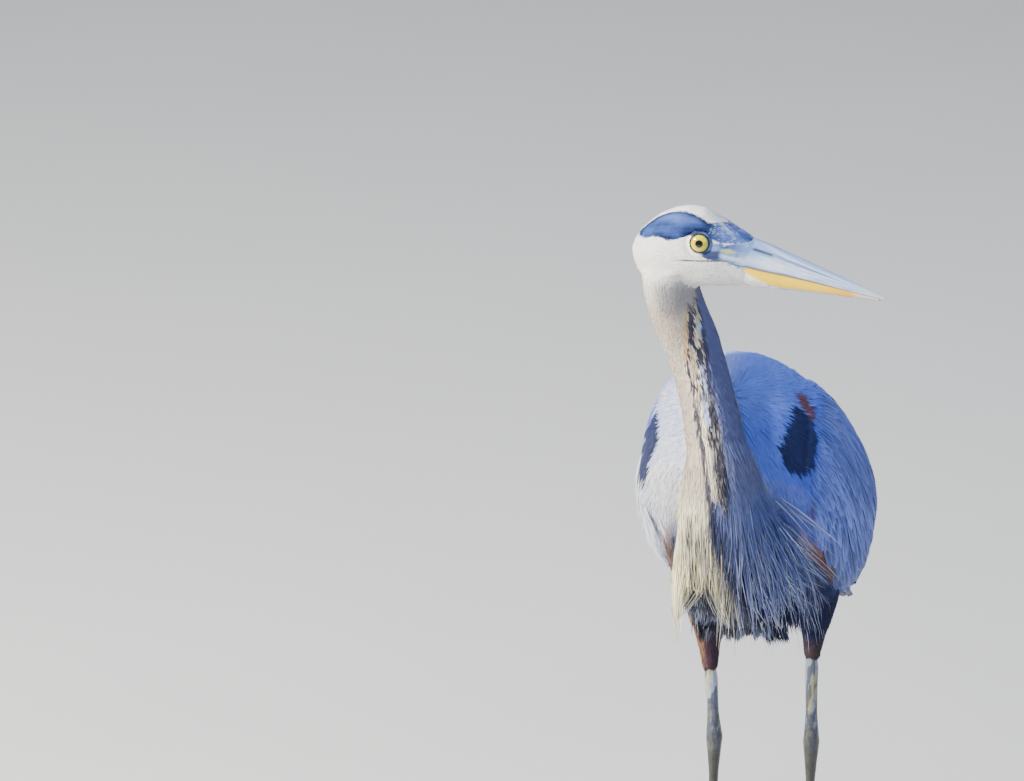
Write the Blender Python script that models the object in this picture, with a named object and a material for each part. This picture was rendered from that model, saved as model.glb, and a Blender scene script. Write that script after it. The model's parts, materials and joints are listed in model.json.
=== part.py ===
"""A great blue heron, life size, standing still with its head turned to its left.

Metres, +Z up. The bird faces -Y and its left side is +X. Every shape is set out from a point on the
floor between the ankles; at the end the whole bird moves so that the origin is the middle of the
underside of its box, which is the floor that it stands on.
"""

from bisect import bisect_right
from math import copysign, cos, pi, radians, sin, sqrt

import bmesh
import bpy
from mathutils import Vector

MM = 0.001
GAP = 0.3 * MM                      # kept between solids that lie against each other
SIDES = {"left": 1, "right": -1}

# The body is set out along a line that falls towards the tail.
BODY_START = Vector((-0.006, -0.090, 0.500))
BODY_PITCH = radians(34)
BODY_ALONG = Vector((0.0, cos(BODY_PITCH), -sin(BODY_PITCH)))
BODY_UP = Vector((0.0, sin(BODY_PITCH), cos(BODY_PITCH)))
BODY_SQUARENESS_ABOVE = 2.5
BODY_SQUARENESS_BELOW = 2.9
TRUNK_FRONT = -0.084
TRUNK_CLOSES = 0.290                # from here the trunk draws in under the folded wings
TRUNK_REAR = 0.425
TRUNK_END = 0.20                    # share of the full section left where the trunk ends
WING_FRONT = -0.040
WING_SPLIT = 0.262                  # where the flight feathers' tips begin
WING_REAR = 0.478
TAIL_FRONT = 0.360
TAIL_REAR = 0.500
TAIL_DROOP = 4.0                    # fall of the outer feathers, per metre of half width squared

# along, half width, rise, drop
BODY = (
    (-0.084, 0.022, 0.074, 0.008),
    (-0.073, 0.050, 0.096, 0.026),
    (-0.050, 0.075, 0.109, 0.048),
    (-0.015, 0.090, 0.112, 0.074),
    (0.040, 0.099, 0.107, 0.094),
    (0.100, 0.103, 0.096, 0.103),
    (0.170, 0.101, 0.080, 0.103),
    (0.240, 0.087, 0.061, 0.088),
    (0.300, 0.063, 0.044, 0.062),
    (0.360, 0.043, 0.031, 0.037),
    (0.420, 0.029, 0.021, 0.024),
    (0.480, 0.014, 0.010, 0.012),
)

# along, upper edge and lower edge in degrees from the back's middle, thickness over the body
WING = (
    (-0.040, 66.0, 98.0, 0.0030),
    (-0.020, 48.0, 116.0, 0.0075),
    (0.020, 28.0, 128.0, 0.0105),
    (0.080, 16.0, 134.0, 0.0110),
    (0.150, 10.0, 134.0, 0.0105),
    (0.220, 8.0, 126.0, 0.0090),
    (0.300, 8.0, 116.0, 0.0070),
    (0.400, 9.0, 108.0, 0.0055),
    (0.478, 16.0, 96.0, 0.0030),
)
WING_EDGE = 0.0026                  # thickness at a wing's upper and lower edges
WING_FULLNESS = 0.6                 # under 1 the thickness comes sooner in from the edges
WING_BURIED = 0.007                 # how far the uncut form reaches into the body
WING_BLADE = 0.0030                 # the same behind the trunk, where the wing is a free blade

# along, half width, height above the body line, half thickness
TAIL = (
    (0.360, 0.021, -0.010, 0.016),
    (0.400, 0.025, -0.010, 0.009),
    (0.440, 0.027, -0.009, 0.005),
    (0.500, 0.024, -0.008, 0.002),
)

# key, x, y, z, half width, half depth, from the head down into the chest
NECK = (
    (0, -0.0558, -0.178, 0.7440, 0.0270, 0.0290),
    (1, -0.0546, -0.171, 0.7140, 0.0285, 0.0310),
    (2, -0.0485, -0.155, 0.6775, 0.0290, 0.0300),
    (3, -0.0398, -0.142, 0.6450, 0.0292, 0.0300),
    (4, -0.0287, -0.144, 0.6100, 0.0295, 0.0305),
    (5, -0.0164, -0.156, 0.5755, 0.0300, 0.0320),
    (6, -0.0062, -0.170, 0.5400, 0.0340, 0.0370),
    (7, -0.0010, -0.172, 0.5080, 0.0430, 0.0440),
    (8, 0.0012, -0.158, 0.4740, 0.0510, 0.0480),
)
NECK_JOINT = 0.005                  # left open at each joint, as a share of a row's step
NECK_PARTS = {"neck_upper": (0.0, 3.2), "neck_middle": (3.2, 5.6), "neck_lower": (5.6, 8.0)}

# key, x, y, z, half width, half depth of the plumes that hang from the foot of the neck
BREAST = (
    (0, -0.0003, -0.163, 0.4900, 0.0450, 0.0420),
    (1, 0.0018, -0.151, 0.4400, 0.0610, 0.0480),
    (2, 0.0030, -0.138, 0.4020, 0.0670, 0.0410),
    (3, 0.0046, -0.125, 0.3680, 0.0650, 0.0290),
    (4, 0.0060, -0.117, 0.3390, 0.0510, 0.0130),
)

# The head is set out along a level line that points where the bird looks.
HEAD_YAW = radians(90)
HEAD_START = Vector((-0.0555, -0.175, 0.0))
HEAD_ALONG = Vector((sin(HEAD_YAW), -cos(HEAD_YAW), 0.0))
HEAD_RIGHT = Vector((HEAD_ALONG.y, -HEAD_ALONG.x, 0.0))
HEAD_SQUARENESS = 2.15

# along, half width, crown, underside
HEAD = (
    (-0.0370, 0.0030, 0.7545, 0.7485),
    (-0.0330, 0.0110, 0.7665, 0.7350),
    (-0.0230, 0.0185, 0.7785, 0.7222),
    (-0.0080, 0.0235, 0.7912, 0.7187),
    (0.0130, 0.0262, 0.8005, 0.7182),
    (0.0330, 0.0262, 0.8012, 0.7187),
    (0.0520, 0.0232, 0.7932, 0.7207),
    (0.0700, 0.0180, 0.7832, 0.7222),
    (0.0850, 0.0128, 0.7755, 0.7242),
    (0.0950, 0.0080, 0.7680, 0.7282),
)

# along, half width, culmen, underside; the gape parts the bill lengthwise
BILL = (
    (0.0720, 0.0135, 0.7755, 0.7250),
    (0.0900, 0.0132, 0.7722, 0.7230),
    (0.1200, 0.0108, 0.7620, 0.7225),
    (0.1550, 0.0080, 0.7488, 0.7214),
    (0.1850, 0.0054, 0.7375, 0.7200),
    (0.2060, 0.0032, 0.7290, 0.7192),
    (0.2210, 0.0010, 0.7222, 0.7190),
)
BILL_GAPE = ((0.0720, 0.7487), (0.0990, 0.7442), (0.1550, 0.7342), (0.2210, 0.7206))
BILL_LOWER_END = 0.2150
BILL_SQUARENESS = 1.75

EYE_RADIUS = 0.0133
EYE_ALONG = 0.0360
EYE_HEIGHT = 0.7702
EYE_OUT = 0.0152                    # from the head's middle plane to the eyeball's centre

# Each leg: hip (hidden in the body), end of the thigh's feathers, ankle and the foot's middle
LEGS = {
    "left": (
        Vector((0.0580, 0.0030, 0.3750)),
        Vector((0.0505, 0.0000, 0.2700)),
        Vector((0.0503, 0.0020, 0.1740)),
        Vector((0.0503, -0.0100, 0.0)),
    ),
    "right": (
        Vector((-0.0600, -0.0060, 0.3750)),
        Vector((-0.0528, -0.0090, 0.2520)),
        Vector((-0.0481, -0.0090, 0.1740)),
        Vector((-0.0481, -0.0205, 0.0)),
    ),
}
# share of the way down, half width, half depth
THIGH = (
    (0.00, 0.0300, 0.0380),
    (0.30, 0.0260, 0.0330),
    (0.55, 0.0185, 0.0230),
    (0.72, 0.0135, 0.0150),
    (0.86, 0.0105, 0.0112),
    (1.00, 0.0085, 0.0088),
)
SHANK = (
    (0.00, 0.0076, 0.0078),
    (0.45, 0.0062, 0.0068),
    (0.75, 0.0062, 0.0074),
    (0.90, 0.0078, 0.0098),
    (1.00, 0.0084, 0.0104),
)
TARSUS = (
    (0.00, 0.0084, 0.0104),
    (0.07, 0.0074, 0.0094),
    (0.18, 0.0050, 0.0066),
    (0.55, 0.0044, 0.0058),
    (0.85, 0.0050, 0.0062),
    (0.94, 0.0072, 0.0078),
    (1.00, 0.0076, 0.0080),
)

# name: direction in degrees from straight ahead towards the bird's outer side, length, half width,
# claw length
TOES = {
    "middle": (4.0, 0.083, 0.0042, 0.012),
    "inner": (-34.0, 0.062, 0.0038, 0.010),
    "outer": (38.0, 0.073, 0.0038, 0.010),
    "hind": (176.0, 0.046, 0.0040, 0.017),
}
TOE_START = 0.004                   # from the foot's middle, inside the tarsus's foot
TOE_KNUCKLES = {"middle": 3, "inner": 2, "outer": 4, "hind": 1}
TOE_TAPER = 0.45                    # share of the half width lost by the tip
TOE_SWELLING = 0.13                 # how far the pads stand out, as a share of the half width
TOE_RISE = 0.90                     # height of a toe's middle, in half widths
CLAW_RISE = 1.05                    # the same for a claw, which arches and then comes down
CLAW_ARCH = 0.35
CLAW_FALL = 0.75
CLAW_TAPER = 0.88
CLAW_FLATNESS = 0.8

# how many sections a form has, and how many points each section has
FINENESS = {
    "trunk": (18, 24),
    "wing": (11, 11),
    "primaries": (7, 11),
    "tail": (6, 14),
    "neck": (7, 18),
    "breast": (9, 20),
    "head": (14, 22),
    "bill": (9, 10),
    "eye": (12, 9),
    "thigh": (9, 14),
    "shank": (7, 10),
    "tarsus": (10, 10),
    "toe": (10, 8),
    "claw": (5, 6),
}

COLOURS = {
    "head": (0.78, 0.80, 0.84),
    "bill_upper": (0.42, 0.47, 0.55),
    "bill_lower": (0.86, 0.62, 0.16),
    "eye": (0.85, 0.72, 0.05),
    "neck": (0.60, 0.56, 0.58),
    "breast": (0.72, 0.70, 0.66),
    "trunk": (0.36, 0.42, 0.56),
    "wing": (0.34, 0.42, 0.60),
    "primaries": (0.12, 0.15, 0.22),
    "tail": (0.22, 0.27, 0.38),
    "thigh": (0.30, 0.16, 0.12),
    "shank": (0.42, 0.42, 0.36),
    "tarsus": (0.24, 0.23, 0.18),
    "toe": (0.22, 0.21, 0.16),
    "claw": (0.06, 0.05, 0.05),
}
ROUGHNESS = {"eye": 0.08, "bill_upper": 0.35, "bill_lower": 0.35, "claw": 0.4}


# ---------------------------------------------------------------- reading curves

def read(rows, key):
    """The values at key on a smooth curve through rows of (key, value, ...)."""
    keys = [row[0] for row in rows]
    key = min(max(key, keys[0]), keys[-1])
    index = min(bisect_right(keys, key), len(rows) - 1) - 1
    before = rows[max(index - 1, 0)]
    low, high = rows[index], rows[index + 1]
    after = rows[min(index + 2, len(rows) - 1)]
    step = high[0] - low[0]
    share = (key - low[0]) / step
    values = []
    for item in range(1, len(low)):
        slope_low = (high[item] - before[item]) / (high[0] - before[0]) * step
        slope_high = (after[item] - low[item]) / (after[0] - low[0]) * step
        rise = high[item] - low[item]
        bend = slope_low - 2 * rise + slope_high + rise
        values.append(
            low[item]
            + slope_low * share
            + (3 * rise - 2 * slope_low - slope_high) * share**2
            + (bend - rise) * share**3
        )
    return values


def spread(start, stop, count):
    """count values from start to stop, both included."""
    return [start + (stop - start) * k / (count - 1) for k in range(count)]


def eased(start, stop, count):
    """The same, closer together at both ends, for forms with rounded ends."""
    return [start + (stop - start) * (1 - cos(pi * k / (count - 1))) / 2 for k in range(count)]


def bow(value, power):
    return copysign(abs(value) ** power, value)


# ---------------------------------------------------------------- scene helpers

def clear_scene():
    for item in list(bpy.data.objects):
        bpy.data.objects.remove(item)


def new_collection(name):
    collection = bpy.data.collections.new(name)
    bpy.context.scene.collection.children.link(collection)
    return collection


def material(name, colour, roughness):
    made = bpy.data.materials.new(name)
    made.use_nodes = True
    shader = made.node_tree.nodes["Principled BSDF"]
    shader.inputs["Base Color"].default_value = (*colour, 1.0)
    shader.inputs["Roughness"].default_value = roughness
    shader.inputs["Metallic"].default_value = 0.0
    return made


def loft(name, rings, home, flat_ends=False):
    """A closed form through rings of points, each with the same number of points."""
    form = bmesh.new()
    lines = [[form.verts.new(point) for point in ring] for ring in rings]
    for first, second in zip(lines, lines[1:]):
        for k, corner in enumerate(first):
            following = (k + 1) % len(first)
            form.faces.new((corner, first[following], second[following], second[k]))
    for line in (lines[0], lines[-1]):
        if flat_ends:
            form.faces.new(line)
            continue
        middle = form.verts.new(sum((vert.co for vert in line), Vector()) / len(line))
        for k, corner in enumerate(line):
            form.faces.new((middle, corner, line[(k + 1) % len(line)]))
    bmesh.ops.recalc_face_normals(form, faces=form.faces)
    bmesh.ops.triangulate(form, faces=form.faces, quad_method="FIXED")
    mesh = bpy.data.meshes.new(name)
    form.to_mesh(mesh)
    form.free()
    mesh.shade_smooth()
    mesh.set_sharp_from_angle(angle=radians(40))
    piece = bpy.data.objects.new(name, mesh)
    home.objects.link(piece)
    return piece


def cutter(name, rings, cutters, flat_ends=False):
    """The form that rings make, larger all round by the gap, to cut its neighbours with."""
    piece = loft("cutter_" + name, rings, cutters, flat_ends)
    form = bmesh.new()
    form.from_mesh(piece.data)
    form.normal_update()
    moves = [vert.normal * vert.calc_shell_factor() * GAP for vert in form.verts]
    for vert, move in zip(form.verts, moves):
        vert.co += move
    form.to_mesh(piece.data)
    form.free()
    as_guide(piece)
    return piece


def as_guide(piece):
    """Show a cutter as a wire only, and never in a render."""
    piece.hide_render = True
    piece.display_type = "WIRE"


def cut(piece, *guides):
    for guide in guides:
        modifier = piece.modifiers.new("cut by " + guide.name, "BOOLEAN")
        modifier.operation = "DIFFERENCE"
        modifier.solver = "EXACT"
        modifier.object = guide


def finish(piece, kind):
    piece.data.materials.append(material(piece.name, COLOURS[kind], ROUGHNESS.get(kind, 0.75)))


# ---------------------------------------------------------------- trunk, wings and tail

def body_point(along, across, above):
    return BODY_START + BODY_ALONG * along + BODY_UP * above + Vector((across, 0.0, 0.0))


def body_surface(along, angle, out=0.0, closing=1.0):
    """A point out from the body's surface, angle measured from the back's middle."""
    half_width, rise, drop = read(BODY, along)
    above = cos(angle) > 0
    height = rise if above else drop
    power = 2 / (BODY_SQUARENESS_ABOVE if above else BODY_SQUARENESS_BELOW)
    across = (half_width * closing + out) * bow(sin(angle), power)
    return body_point(along, across, (height * closing + out) * bow(cos(angle), power))


def trunk_rings():
    sections, sides = FINENESS["trunk"]
    angles = [2 * pi * (k + 0.5) / sides for k in range(sides)]
    rings = []
    for along in eased(TRUNK_FRONT, TRUNK_REAR, sections):
        late = max(along - TRUNK_CLOSES, 0.0) / (TRUNK_REAR - TRUNK_CLOSES)
        closing = max(sqrt(1 - late**2), TRUNK_END)
        rings.append([body_surface(along, angle, 0.0, closing) for angle in angles])
    return rings


def wing_ring(along, side):
    """A wing's section: an outer arc over the body and an inner one that the trunk later cuts."""
    upper, lower, thickness = read(WING, along)
    upper, lower = radians(upper), radians(lower)
    free = min(max((along - TRUNK_CLOSES) / (TRUNK_REAR - TRUNK_CLOSES), 0.0), 1.0)
    inner = WING_BURIED + (WING_BLADE - WING_BURIED) * free
    outside, inside = [], []
    for share in spread(0.0, 1.0, FINENESS["wing"][1]):
        angle = upper + (lower - upper) * share
        crown = sin(pi * share) ** WING_FULLNESS if 0 < share < 1 else 0.0
        edge = min(WING_EDGE, thickness)
        out = edge + (thickness - edge) * crown
        outside.append(body_surface(along, side * angle, out))
        inside.append(body_surface(along, side * angle, -inner))
    return outside + inside[::-1]


def wing_rings(side, start, stop, sections):
    return [wing_ring(along, side) for along in spread(start, stop, sections)]


def tail_rings():
    sections, sides = FINENESS["tail"]
    rings = []
    for along in spread(TAIL_FRONT, TAIL_REAR, sections):
        half_width, height, half_thick = read(TAIL, along)
        ring = []
        for k in range(sides):
            angle = 2 * pi * (k + 0.5) / sides
            across = half_width * bow(cos(angle), 0.6)
            above = height + half_thick * bow(sin(angle), 0.8) - TAIL_DROOP * across**2
            ring.append(body_point(along, across, above))
        rings.append(ring)
    return rings


def make_body(parts, cutters):
    """The trunk, the two folded wings, their tips and the tail, and what cuts other pieces."""
    trunk_cutter = cutter("trunk", trunk_rings(), cutters)
    tail_cutter = cutter("tail", tail_rings(), cutters, flat_ends=True)
    trunk = loft("trunk", trunk_rings(), parts)
    finish(trunk, "trunk")
    tail = loft("tail", tail_rings(), parts, flat_ends=True)
    cut(tail, trunk_cutter)
    finish(tail, "tail")
    wing_cutters = {}
    for side, sign in SIDES.items():
        front = wing_rings(sign, WING_FRONT, WING_SPLIT - GAP / 2, FINENESS["wing"][0])
        rear = wing_rings(sign, WING_SPLIT + GAP / 2, WING_REAR, FINENESS["primaries"][0])
        wing = loft("wing_" + side, front, parts)
        cut(wing, trunk_cutter)
        finish(wing, "wing")
        primaries = loft("primaries_" + side, rear, parts)
        cut(primaries, trunk_cutter, tail_cutter)
        finish(primaries, "primaries")
        wing_cutters[side] = cutter("wing_" + side, front + rear[1:], cutters)
    return trunk_cutter, wing_cutters


# ---------------------------------------------------------------- neck and breast

def oval(centre, along, half_width, half_depth, sides):
    """A section square to the direction along, its width across the bird."""
    across = Vector((1.0, 0.0, 0.0))
    right = (across - along * across.dot(along)).normalized()
    front = along.cross(right).normalized()
    ring = []
    for k in range(sides):
        angle = 2 * pi * (k + 0.5) / sides
        ring.append(centre + right * half_width * cos(angle) + front * half_depth * sin(angle))
    return ring


def spine_rings(rows, start, stop, kind):
    """Sections square to the curve that the rows' x, y and z describe."""
    sections, sides = FINENESS[kind]
    rings = []
    for key in spread(start, stop, sections):
        x, y, z, half_width, half_depth = read(rows, key)
        ahead = Vector(read(rows, key + 0.02)[:3])
        behind = Vector(read(rows, key - 0.02)[:3])
        along = (ahead - behind).normalized()
        rings.append(oval(Vector((x, y, z)), along, half_width, half_depth, sides))
    return rings


def make_neck(parts, cutters, trunk_cutter, head_cutter):
    """The neck in three lengths. Returns what cuts the plumes under it."""
    pieces = {}
    for name, (start, stop) in NECK_PARTS.items():
        low = start + (NECK_JOINT if start > 0 else 0.0)
        high = stop - (NECK_JOINT if name != "neck_lower" else 0.0)
        rings = spine_rings(NECK, low, high, "neck")
        pieces[name] = loft(name, rings, parts, flat_ends=True)
        finish(pieces[name], "neck")
    cut(pieces["neck_upper"], head_cutter)
    cut(pieces["neck_middle"], trunk_cutter)
    cut(pieces["neck_lower"], trunk_cutter)
    rings = spine_rings(NECK, *NECK_PARTS["neck_lower"], "neck")
    return cutter("neck", rings, cutters, flat_ends=True)


def make_breast(parts, trunk_cutter, wing_cutters, neck_cutter):
    """The mat of long plumes that hangs in front of the chest."""
    rings = spine_rings(BREAST, BREAST[0][0], BREAST[-1][0], "breast")
    breast = loft("breast", rings, parts, flat_ends=True)
    cut(breast, neck_cutter, trunk_cutter, *wing_cutters.values())
    finish(breast, "breast")


# ---------------------------------------------------------------- head, bill and eyes

def head_point(along, outwards, height):
    """A point by its distance along the head, to the head's right side, and above the floor."""
    place = HEAD_START + HEAD_ALONG * along + HEAD_RIGHT * outwards
    return Vector((place.x, place.y, height))


def head_rings():
    sections, sides = FINENESS["head"]
    power = 2 / HEAD_SQUARENESS
    rings = []
    for along in eased(HEAD[0][0], HEAD[-1][0], sections):
        half_width, crown, underside = read(HEAD, along)
        middle = (crown + underside) / 2
        half_height = (crown - underside) / 2
        ring = []
        for k in range(sides):
            angle = 2 * pi * k / sides
            outwards = half_width * bow(cos(angle), power)
            ring.append(head_point(along, outwards, middle + half_height * bow(sin(angle), power)))
        rings.append(ring)
    return rings


def bill_rings(upper):
    """Half sections: the upper bill stands on the gape, the lower one hangs from it."""
    sections, sides = FINENESS["bill"]
    rings = []
    stop = BILL[-1][0] if upper else BILL_LOWER_END
    for along in spread(BILL[0][0], stop, sections):
        half_width, culmen, underside = read(BILL, along)
        gape = read(BILL_GAPE, along)[0]
        edge = gape + GAP / 2 if upper else gape - GAP / 2
        reach = culmen - edge if upper else underside - edge
        ring = []
        for k in range(sides):
            angle = pi * k / (sides - 1)
            outwards = half_width * bow(cos(angle), 2 / BILL_SQUARENESS)
            ring.append(head_point(along, outwards, edge + reach * sin(angle) ** 0.9))
        rings.append(ring)
    return rings


def ball(name, centre, radius, home):
    form = bmesh.new()
    round_it, down_it = FINENESS["eye"]
    bmesh.ops.create_uvsphere(form, u_segments=round_it, v_segments=down_it, radius=radius)
    mesh = bpy.data.meshes.new(name)
    form.to_mesh(mesh)
    form.free()
    mesh.shade_smooth()
    piece = bpy.data.objects.new(name, mesh)
    piece.location = centre
    home.objects.link(piece)
    return piece


def make_head(parts, cutters):
    """The head with its eyes and bill. Returns what cuts the neck below it."""
    head_cutter = cutter("head", head_rings(), cutters)
    head = loft("head", head_rings(), parts)
    finish(head, "head")
    for side, sign in SIDES.items():
        centre = head_point(EYE_ALONG, -sign * EYE_OUT, EYE_HEIGHT)
        eye = ball("eye_" + side, centre, EYE_RADIUS, parts)
        finish(eye, "eye")
        socket = ball("cutter_eye_" + side, centre, EYE_RADIUS + GAP, cutters)
        as_guide(socket)
        cut(head, socket)
    for name, upper in (("bill_upper", True), ("bill_lower", False)):
        bill = loft(name, bill_rings(upper), parts, flat_ends=True)
        cut(bill, head_cutter)
        finish(bill, name)
    return head_cutter


# ---------------------------------------------------------------- legs and feet

def limb_rings(rows, top, bottom, kind):
    """Level sections from top to bottom; rows give the sizes by share of the way down."""
    sections, sides = FINENESS[kind]
    down = Vector((0.0, 0.0, -1.0))
    rings = []
    for share in spread(0.0, 1.0, sections):
        half_width, half_depth = read(rows, share)
        centre = top.lerp(bottom, share)
        rings.append(oval(centre, down, half_width, half_depth, sides))
    return rings


def toe_rings(foot, direction, length, half_width, knuckles):
    """A toe lying on the floor, flat beneath."""
    sections, sides = FINENESS["toe"]
    rings = []
    for share in spread(0.0, 1.0, sections):
        taper = 1 - TOE_TAPER * share
        swelling = 1 + TOE_SWELLING * cos(2 * pi * knuckles * share)
        size = half_width * taper * swelling
        centre = foot + direction * (TOE_START + (length - TOE_START) * share)
        centre.z = size * TOE_RISE
        ring = oval(centre, direction, size, size, sides)
        rings.append([Vector((point.x, point.y, max(point.z, 0.0))) for point in ring])
    return rings


def claw_rings(foot, direction, start, length, size):
    sections, sides = FINENESS["claw"]
    rings = []
    for share in spread(0.0, 1.0, sections):
        centre = foot + direction * (start + length * share)
        width = size * (1 - CLAW_TAPER * share)
        centre.z = size * (CLAW_RISE + CLAW_ARCH * sin(pi * share) - CLAW_FALL * share**2)
        rings.append(oval(centre, direction, width * CLAW_FLATNESS, width, sides))
    return rings


def toe_direction(degrees, sign):
    turn = radians(degrees)
    return Vector((sign * sin(turn), -cos(turn), 0.0))


def make_foot(parts, cutters, side, foot, tarsus_cutter):
    sign = SIDES[side]
    middle_cutter = None
    for name, (degrees, length, half_width, claw_length) in TOES.items():
        direction = toe_direction(degrees, sign)
        rings = toe_rings(foot, direction, length, half_width, TOE_KNUCKLES[name])
        toe = loft("toe_" + name + "_" + side, rings, parts, flat_ends=True)
        if name == "middle":
            middle_cutter = cutter("toe_" + side, rings, cutters, flat_ends=True)
        elif name != "hind":
            cut(toe, middle_cutter)
        cut(toe, tarsus_cutter)
        finish(toe, "toe")
        tip = half_width * (1 - TOE_TAPER)
        rings = claw_rings(foot, direction, length + GAP, claw_length, tip)
        claw = loft("claw_" + name + "_" + side, rings, parts, flat_ends=True)
        finish(claw, "claw")


def make_leg(parts, cutters, side, trunk_cutter, wing_cutter):
    hip, garter, ankle, foot = LEGS[side]
    rings = limb_rings(THIGH, hip, garter, "thigh")
    thigh = loft("thigh_" + side, rings, parts, flat_ends=True)
    cut(thigh, trunk_cutter, wing_cutter)
    finish(thigh, "thigh")
    top = garter - Vector((0, 0, GAP))
    rings = limb_rings(SHANK, top, ankle, "shank")
    shank = loft("shank_" + side, rings, parts, flat_ends=True)
    finish(shank, "shank")
    top = ankle - Vector((0, 0, GAP))
    rings = limb_rings(TARSUS, top, foot, "tarsus")
    tarsus = loft("tarsus_" + side, rings, parts, flat_ends=True)
    finish(tarsus, "tarsus")
    tarsus_cutter = cutter("tarsus_" + side, rings, cutters, flat_ends=True)
    make_foot(parts, cutters, side, foot, tarsus_cutter)


# ---------------------------------------------------------------- the whole bird

def set_origin(parts):
    """Move everything so that the origin is the middle of the underside of the whole box."""
    bpy.context.view_layer.update()
    seen = bpy.context.evaluated_depsgraph_get()
    corners = []
    for piece in parts.objects:
        mesh = piece.evaluated_get(seen).to_mesh()
        corners += [piece.matrix_world @ vert.co for vert in mesh.vertices]
    low = Vector([min(corner[axis] for corner in corners) for axis in range(3)])
    high = Vector([max(corner[axis] for corner in corners) for axis in range(3)])
    base = Vector(((low.x + high.x) / 2, (low.y + high.y) / 2, low.z))
    for piece in bpy.data.objects:
        piece.location -= base


def main():
    clear_scene()
    parts = new_collection("great_blue_heron")
    cutters = new_collection("cutters")
    trunk_cutter, wing_cutters = make_body(parts, cutters)
    head_cutter = make_head(parts, cutters)
    neck_cutter = make_neck(parts, cutters, trunk_cutter, head_cutter)
    make_breast(parts, trunk_cutter, wing_cutters, neck_cutter)
    for side in SIDES:
        make_leg(parts, cutters, side, trunk_cutter, wing_cutters[side])
    set_origin(parts)


main()
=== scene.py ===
"""The looks of a standing great blue heron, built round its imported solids.

Every place here is measured from a point on the floor between the bird's ankles, in metres, with +Z
up, the bird facing -Y and its left side at +X. piece_from() moves each piece into the part's frame.

The solids of head, neck, body and thighs become one skin, drawn in under the coat. Many thin vanes are
laid over it, one class of them doing all the laying. A lie_ function says which way they lie, a tint_
function gives their colours, and an unwrap_ function their place on the baked image.
"""

import json
from math import cos, pi, radians, sin, sqrt

import bmesh
import bpy
import numpy as np
from mathutils import Matrix, Vector
from mathutils.bvhtree import BVHTree


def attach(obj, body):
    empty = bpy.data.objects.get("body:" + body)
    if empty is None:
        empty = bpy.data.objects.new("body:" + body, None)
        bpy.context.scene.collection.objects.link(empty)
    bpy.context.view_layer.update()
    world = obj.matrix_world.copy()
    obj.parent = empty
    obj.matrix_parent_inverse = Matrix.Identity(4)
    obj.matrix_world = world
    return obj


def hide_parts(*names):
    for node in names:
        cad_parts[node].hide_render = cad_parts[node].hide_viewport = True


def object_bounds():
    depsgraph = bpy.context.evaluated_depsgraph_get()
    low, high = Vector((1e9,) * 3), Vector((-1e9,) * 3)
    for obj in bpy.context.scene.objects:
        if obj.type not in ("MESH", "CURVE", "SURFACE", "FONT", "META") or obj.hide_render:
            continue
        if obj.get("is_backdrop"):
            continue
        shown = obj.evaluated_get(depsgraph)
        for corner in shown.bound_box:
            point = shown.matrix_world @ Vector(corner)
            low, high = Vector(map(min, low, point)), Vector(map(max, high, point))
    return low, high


MM = 0.001
SIDES = {"left": 1, "right": -1}

# Where the middle of the two soles lies, seen from the point that everything is measured from
SOLES_MIDDLE = np.array((0.0011, -0.01525, 0.0))

# The body's line falls towards the tail; the head's line is level and points where the bird looks.
BODY_START = np.array((-0.006, -0.090, 0.500))
BODY_PITCH = radians(34)
BODY_ALONG = np.array((0.0, cos(BODY_PITCH), -sin(BODY_PITCH)))
BODY_UP = np.array((0.0, sin(BODY_PITCH), cos(BODY_PITCH)))
TAIL_DROOP = 4.0                    # fall of the outer feathers, per metre of half width squared
HEAD_START = np.array((-0.0555, -0.175, 0.0))
HEAD_ALONG = np.array((1.0, 0.0, 0.0))
HEAD_RIGHT = np.array((0.0, -1.0, 0.0))
DOWN = np.array((0.0, 0.0, -1.0))
LEFT = np.array((1.0, 0.0, 0.0))

# key, x, y, z: the neck's middle line, from the head down into the chest
NECK_LINE = (
    (0, -0.0558, -0.178, 0.7440),
    (1, -0.0546, -0.171, 0.7140),
    (2, -0.0485, -0.155, 0.6775),
    (3, -0.0398, -0.142, 0.6450),
    (4, -0.0287, -0.144, 0.6100),
    (5, -0.0164, -0.156, 0.5755),
    (6, -0.0062, -0.170, 0.5400),
    (7, -0.0010, -0.172, 0.5080),
    (8, 0.0012, -0.158, 0.4740),
)
NECK_FOOT = np.array((0.000, -0.150, 0.600))      # the breast feathers fan out from here

HEAD_NODES = ("head",)
NECK_NODES = ("neck_upper", "neck_middle", "neck_lower")
BODY_NODES = ("trunk", "wing_left", "wing_right", "primaries_left", "primaries_right", "tail")
THIGH_NODES = ("thigh_left", "thigh_right")
FLESH = HEAD_NODES + NECK_NODES + ("breast",) + BODY_NODES + THIGH_NODES

# The skins are made of small cubes, then smoothed this many times
SKIN_VOXEL = 2.4 * MM
SKIN_ROUNDS = 8
LEG_VOXEL = 0.9 * MM
LEG_ROUNDS = 5

# How deep the skin lies under the tips of the coat, by node
COAT_DEPTH = {
    "head": 1.1 * MM,
    "neck_upper": 2.6 * MM,
    "neck_middle": 3.4 * MM,
    "neck_lower": 5.0 * MM,
    "breast": 9.0 * MM,
    "trunk": 5.0 * MM,
    "wing_left": 4.0 * MM,
    "wing_right": 4.0 * MM,
    "primaries_left": 2.4 * MM,
    "primaries_right": 2.4 * MM,
    "tail": 2.0 * MM,
    "thigh_left": 3.0 * MM,
    "thigh_right": 3.0 * MM,
}

LOOSE_PLUMES = 9 * MM                             # more room under the plumes' hanging ends
THIGH_DEPTH = 0.30                                # share of its depth at a thigh's lower end
THIN_DEPTH = 0.34                                 # largest share of a thin form, such as a wing tip
THIN = 60 * MM

EYE_CENTRE = (0.0360, 0.0152, 0.7702)             # along the head, from its middle plane, height
EYE_RADIUS = 0.0133
IRIS_RADIUS = 0.0093
PUPIL_RADIUS = 0.0038

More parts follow.
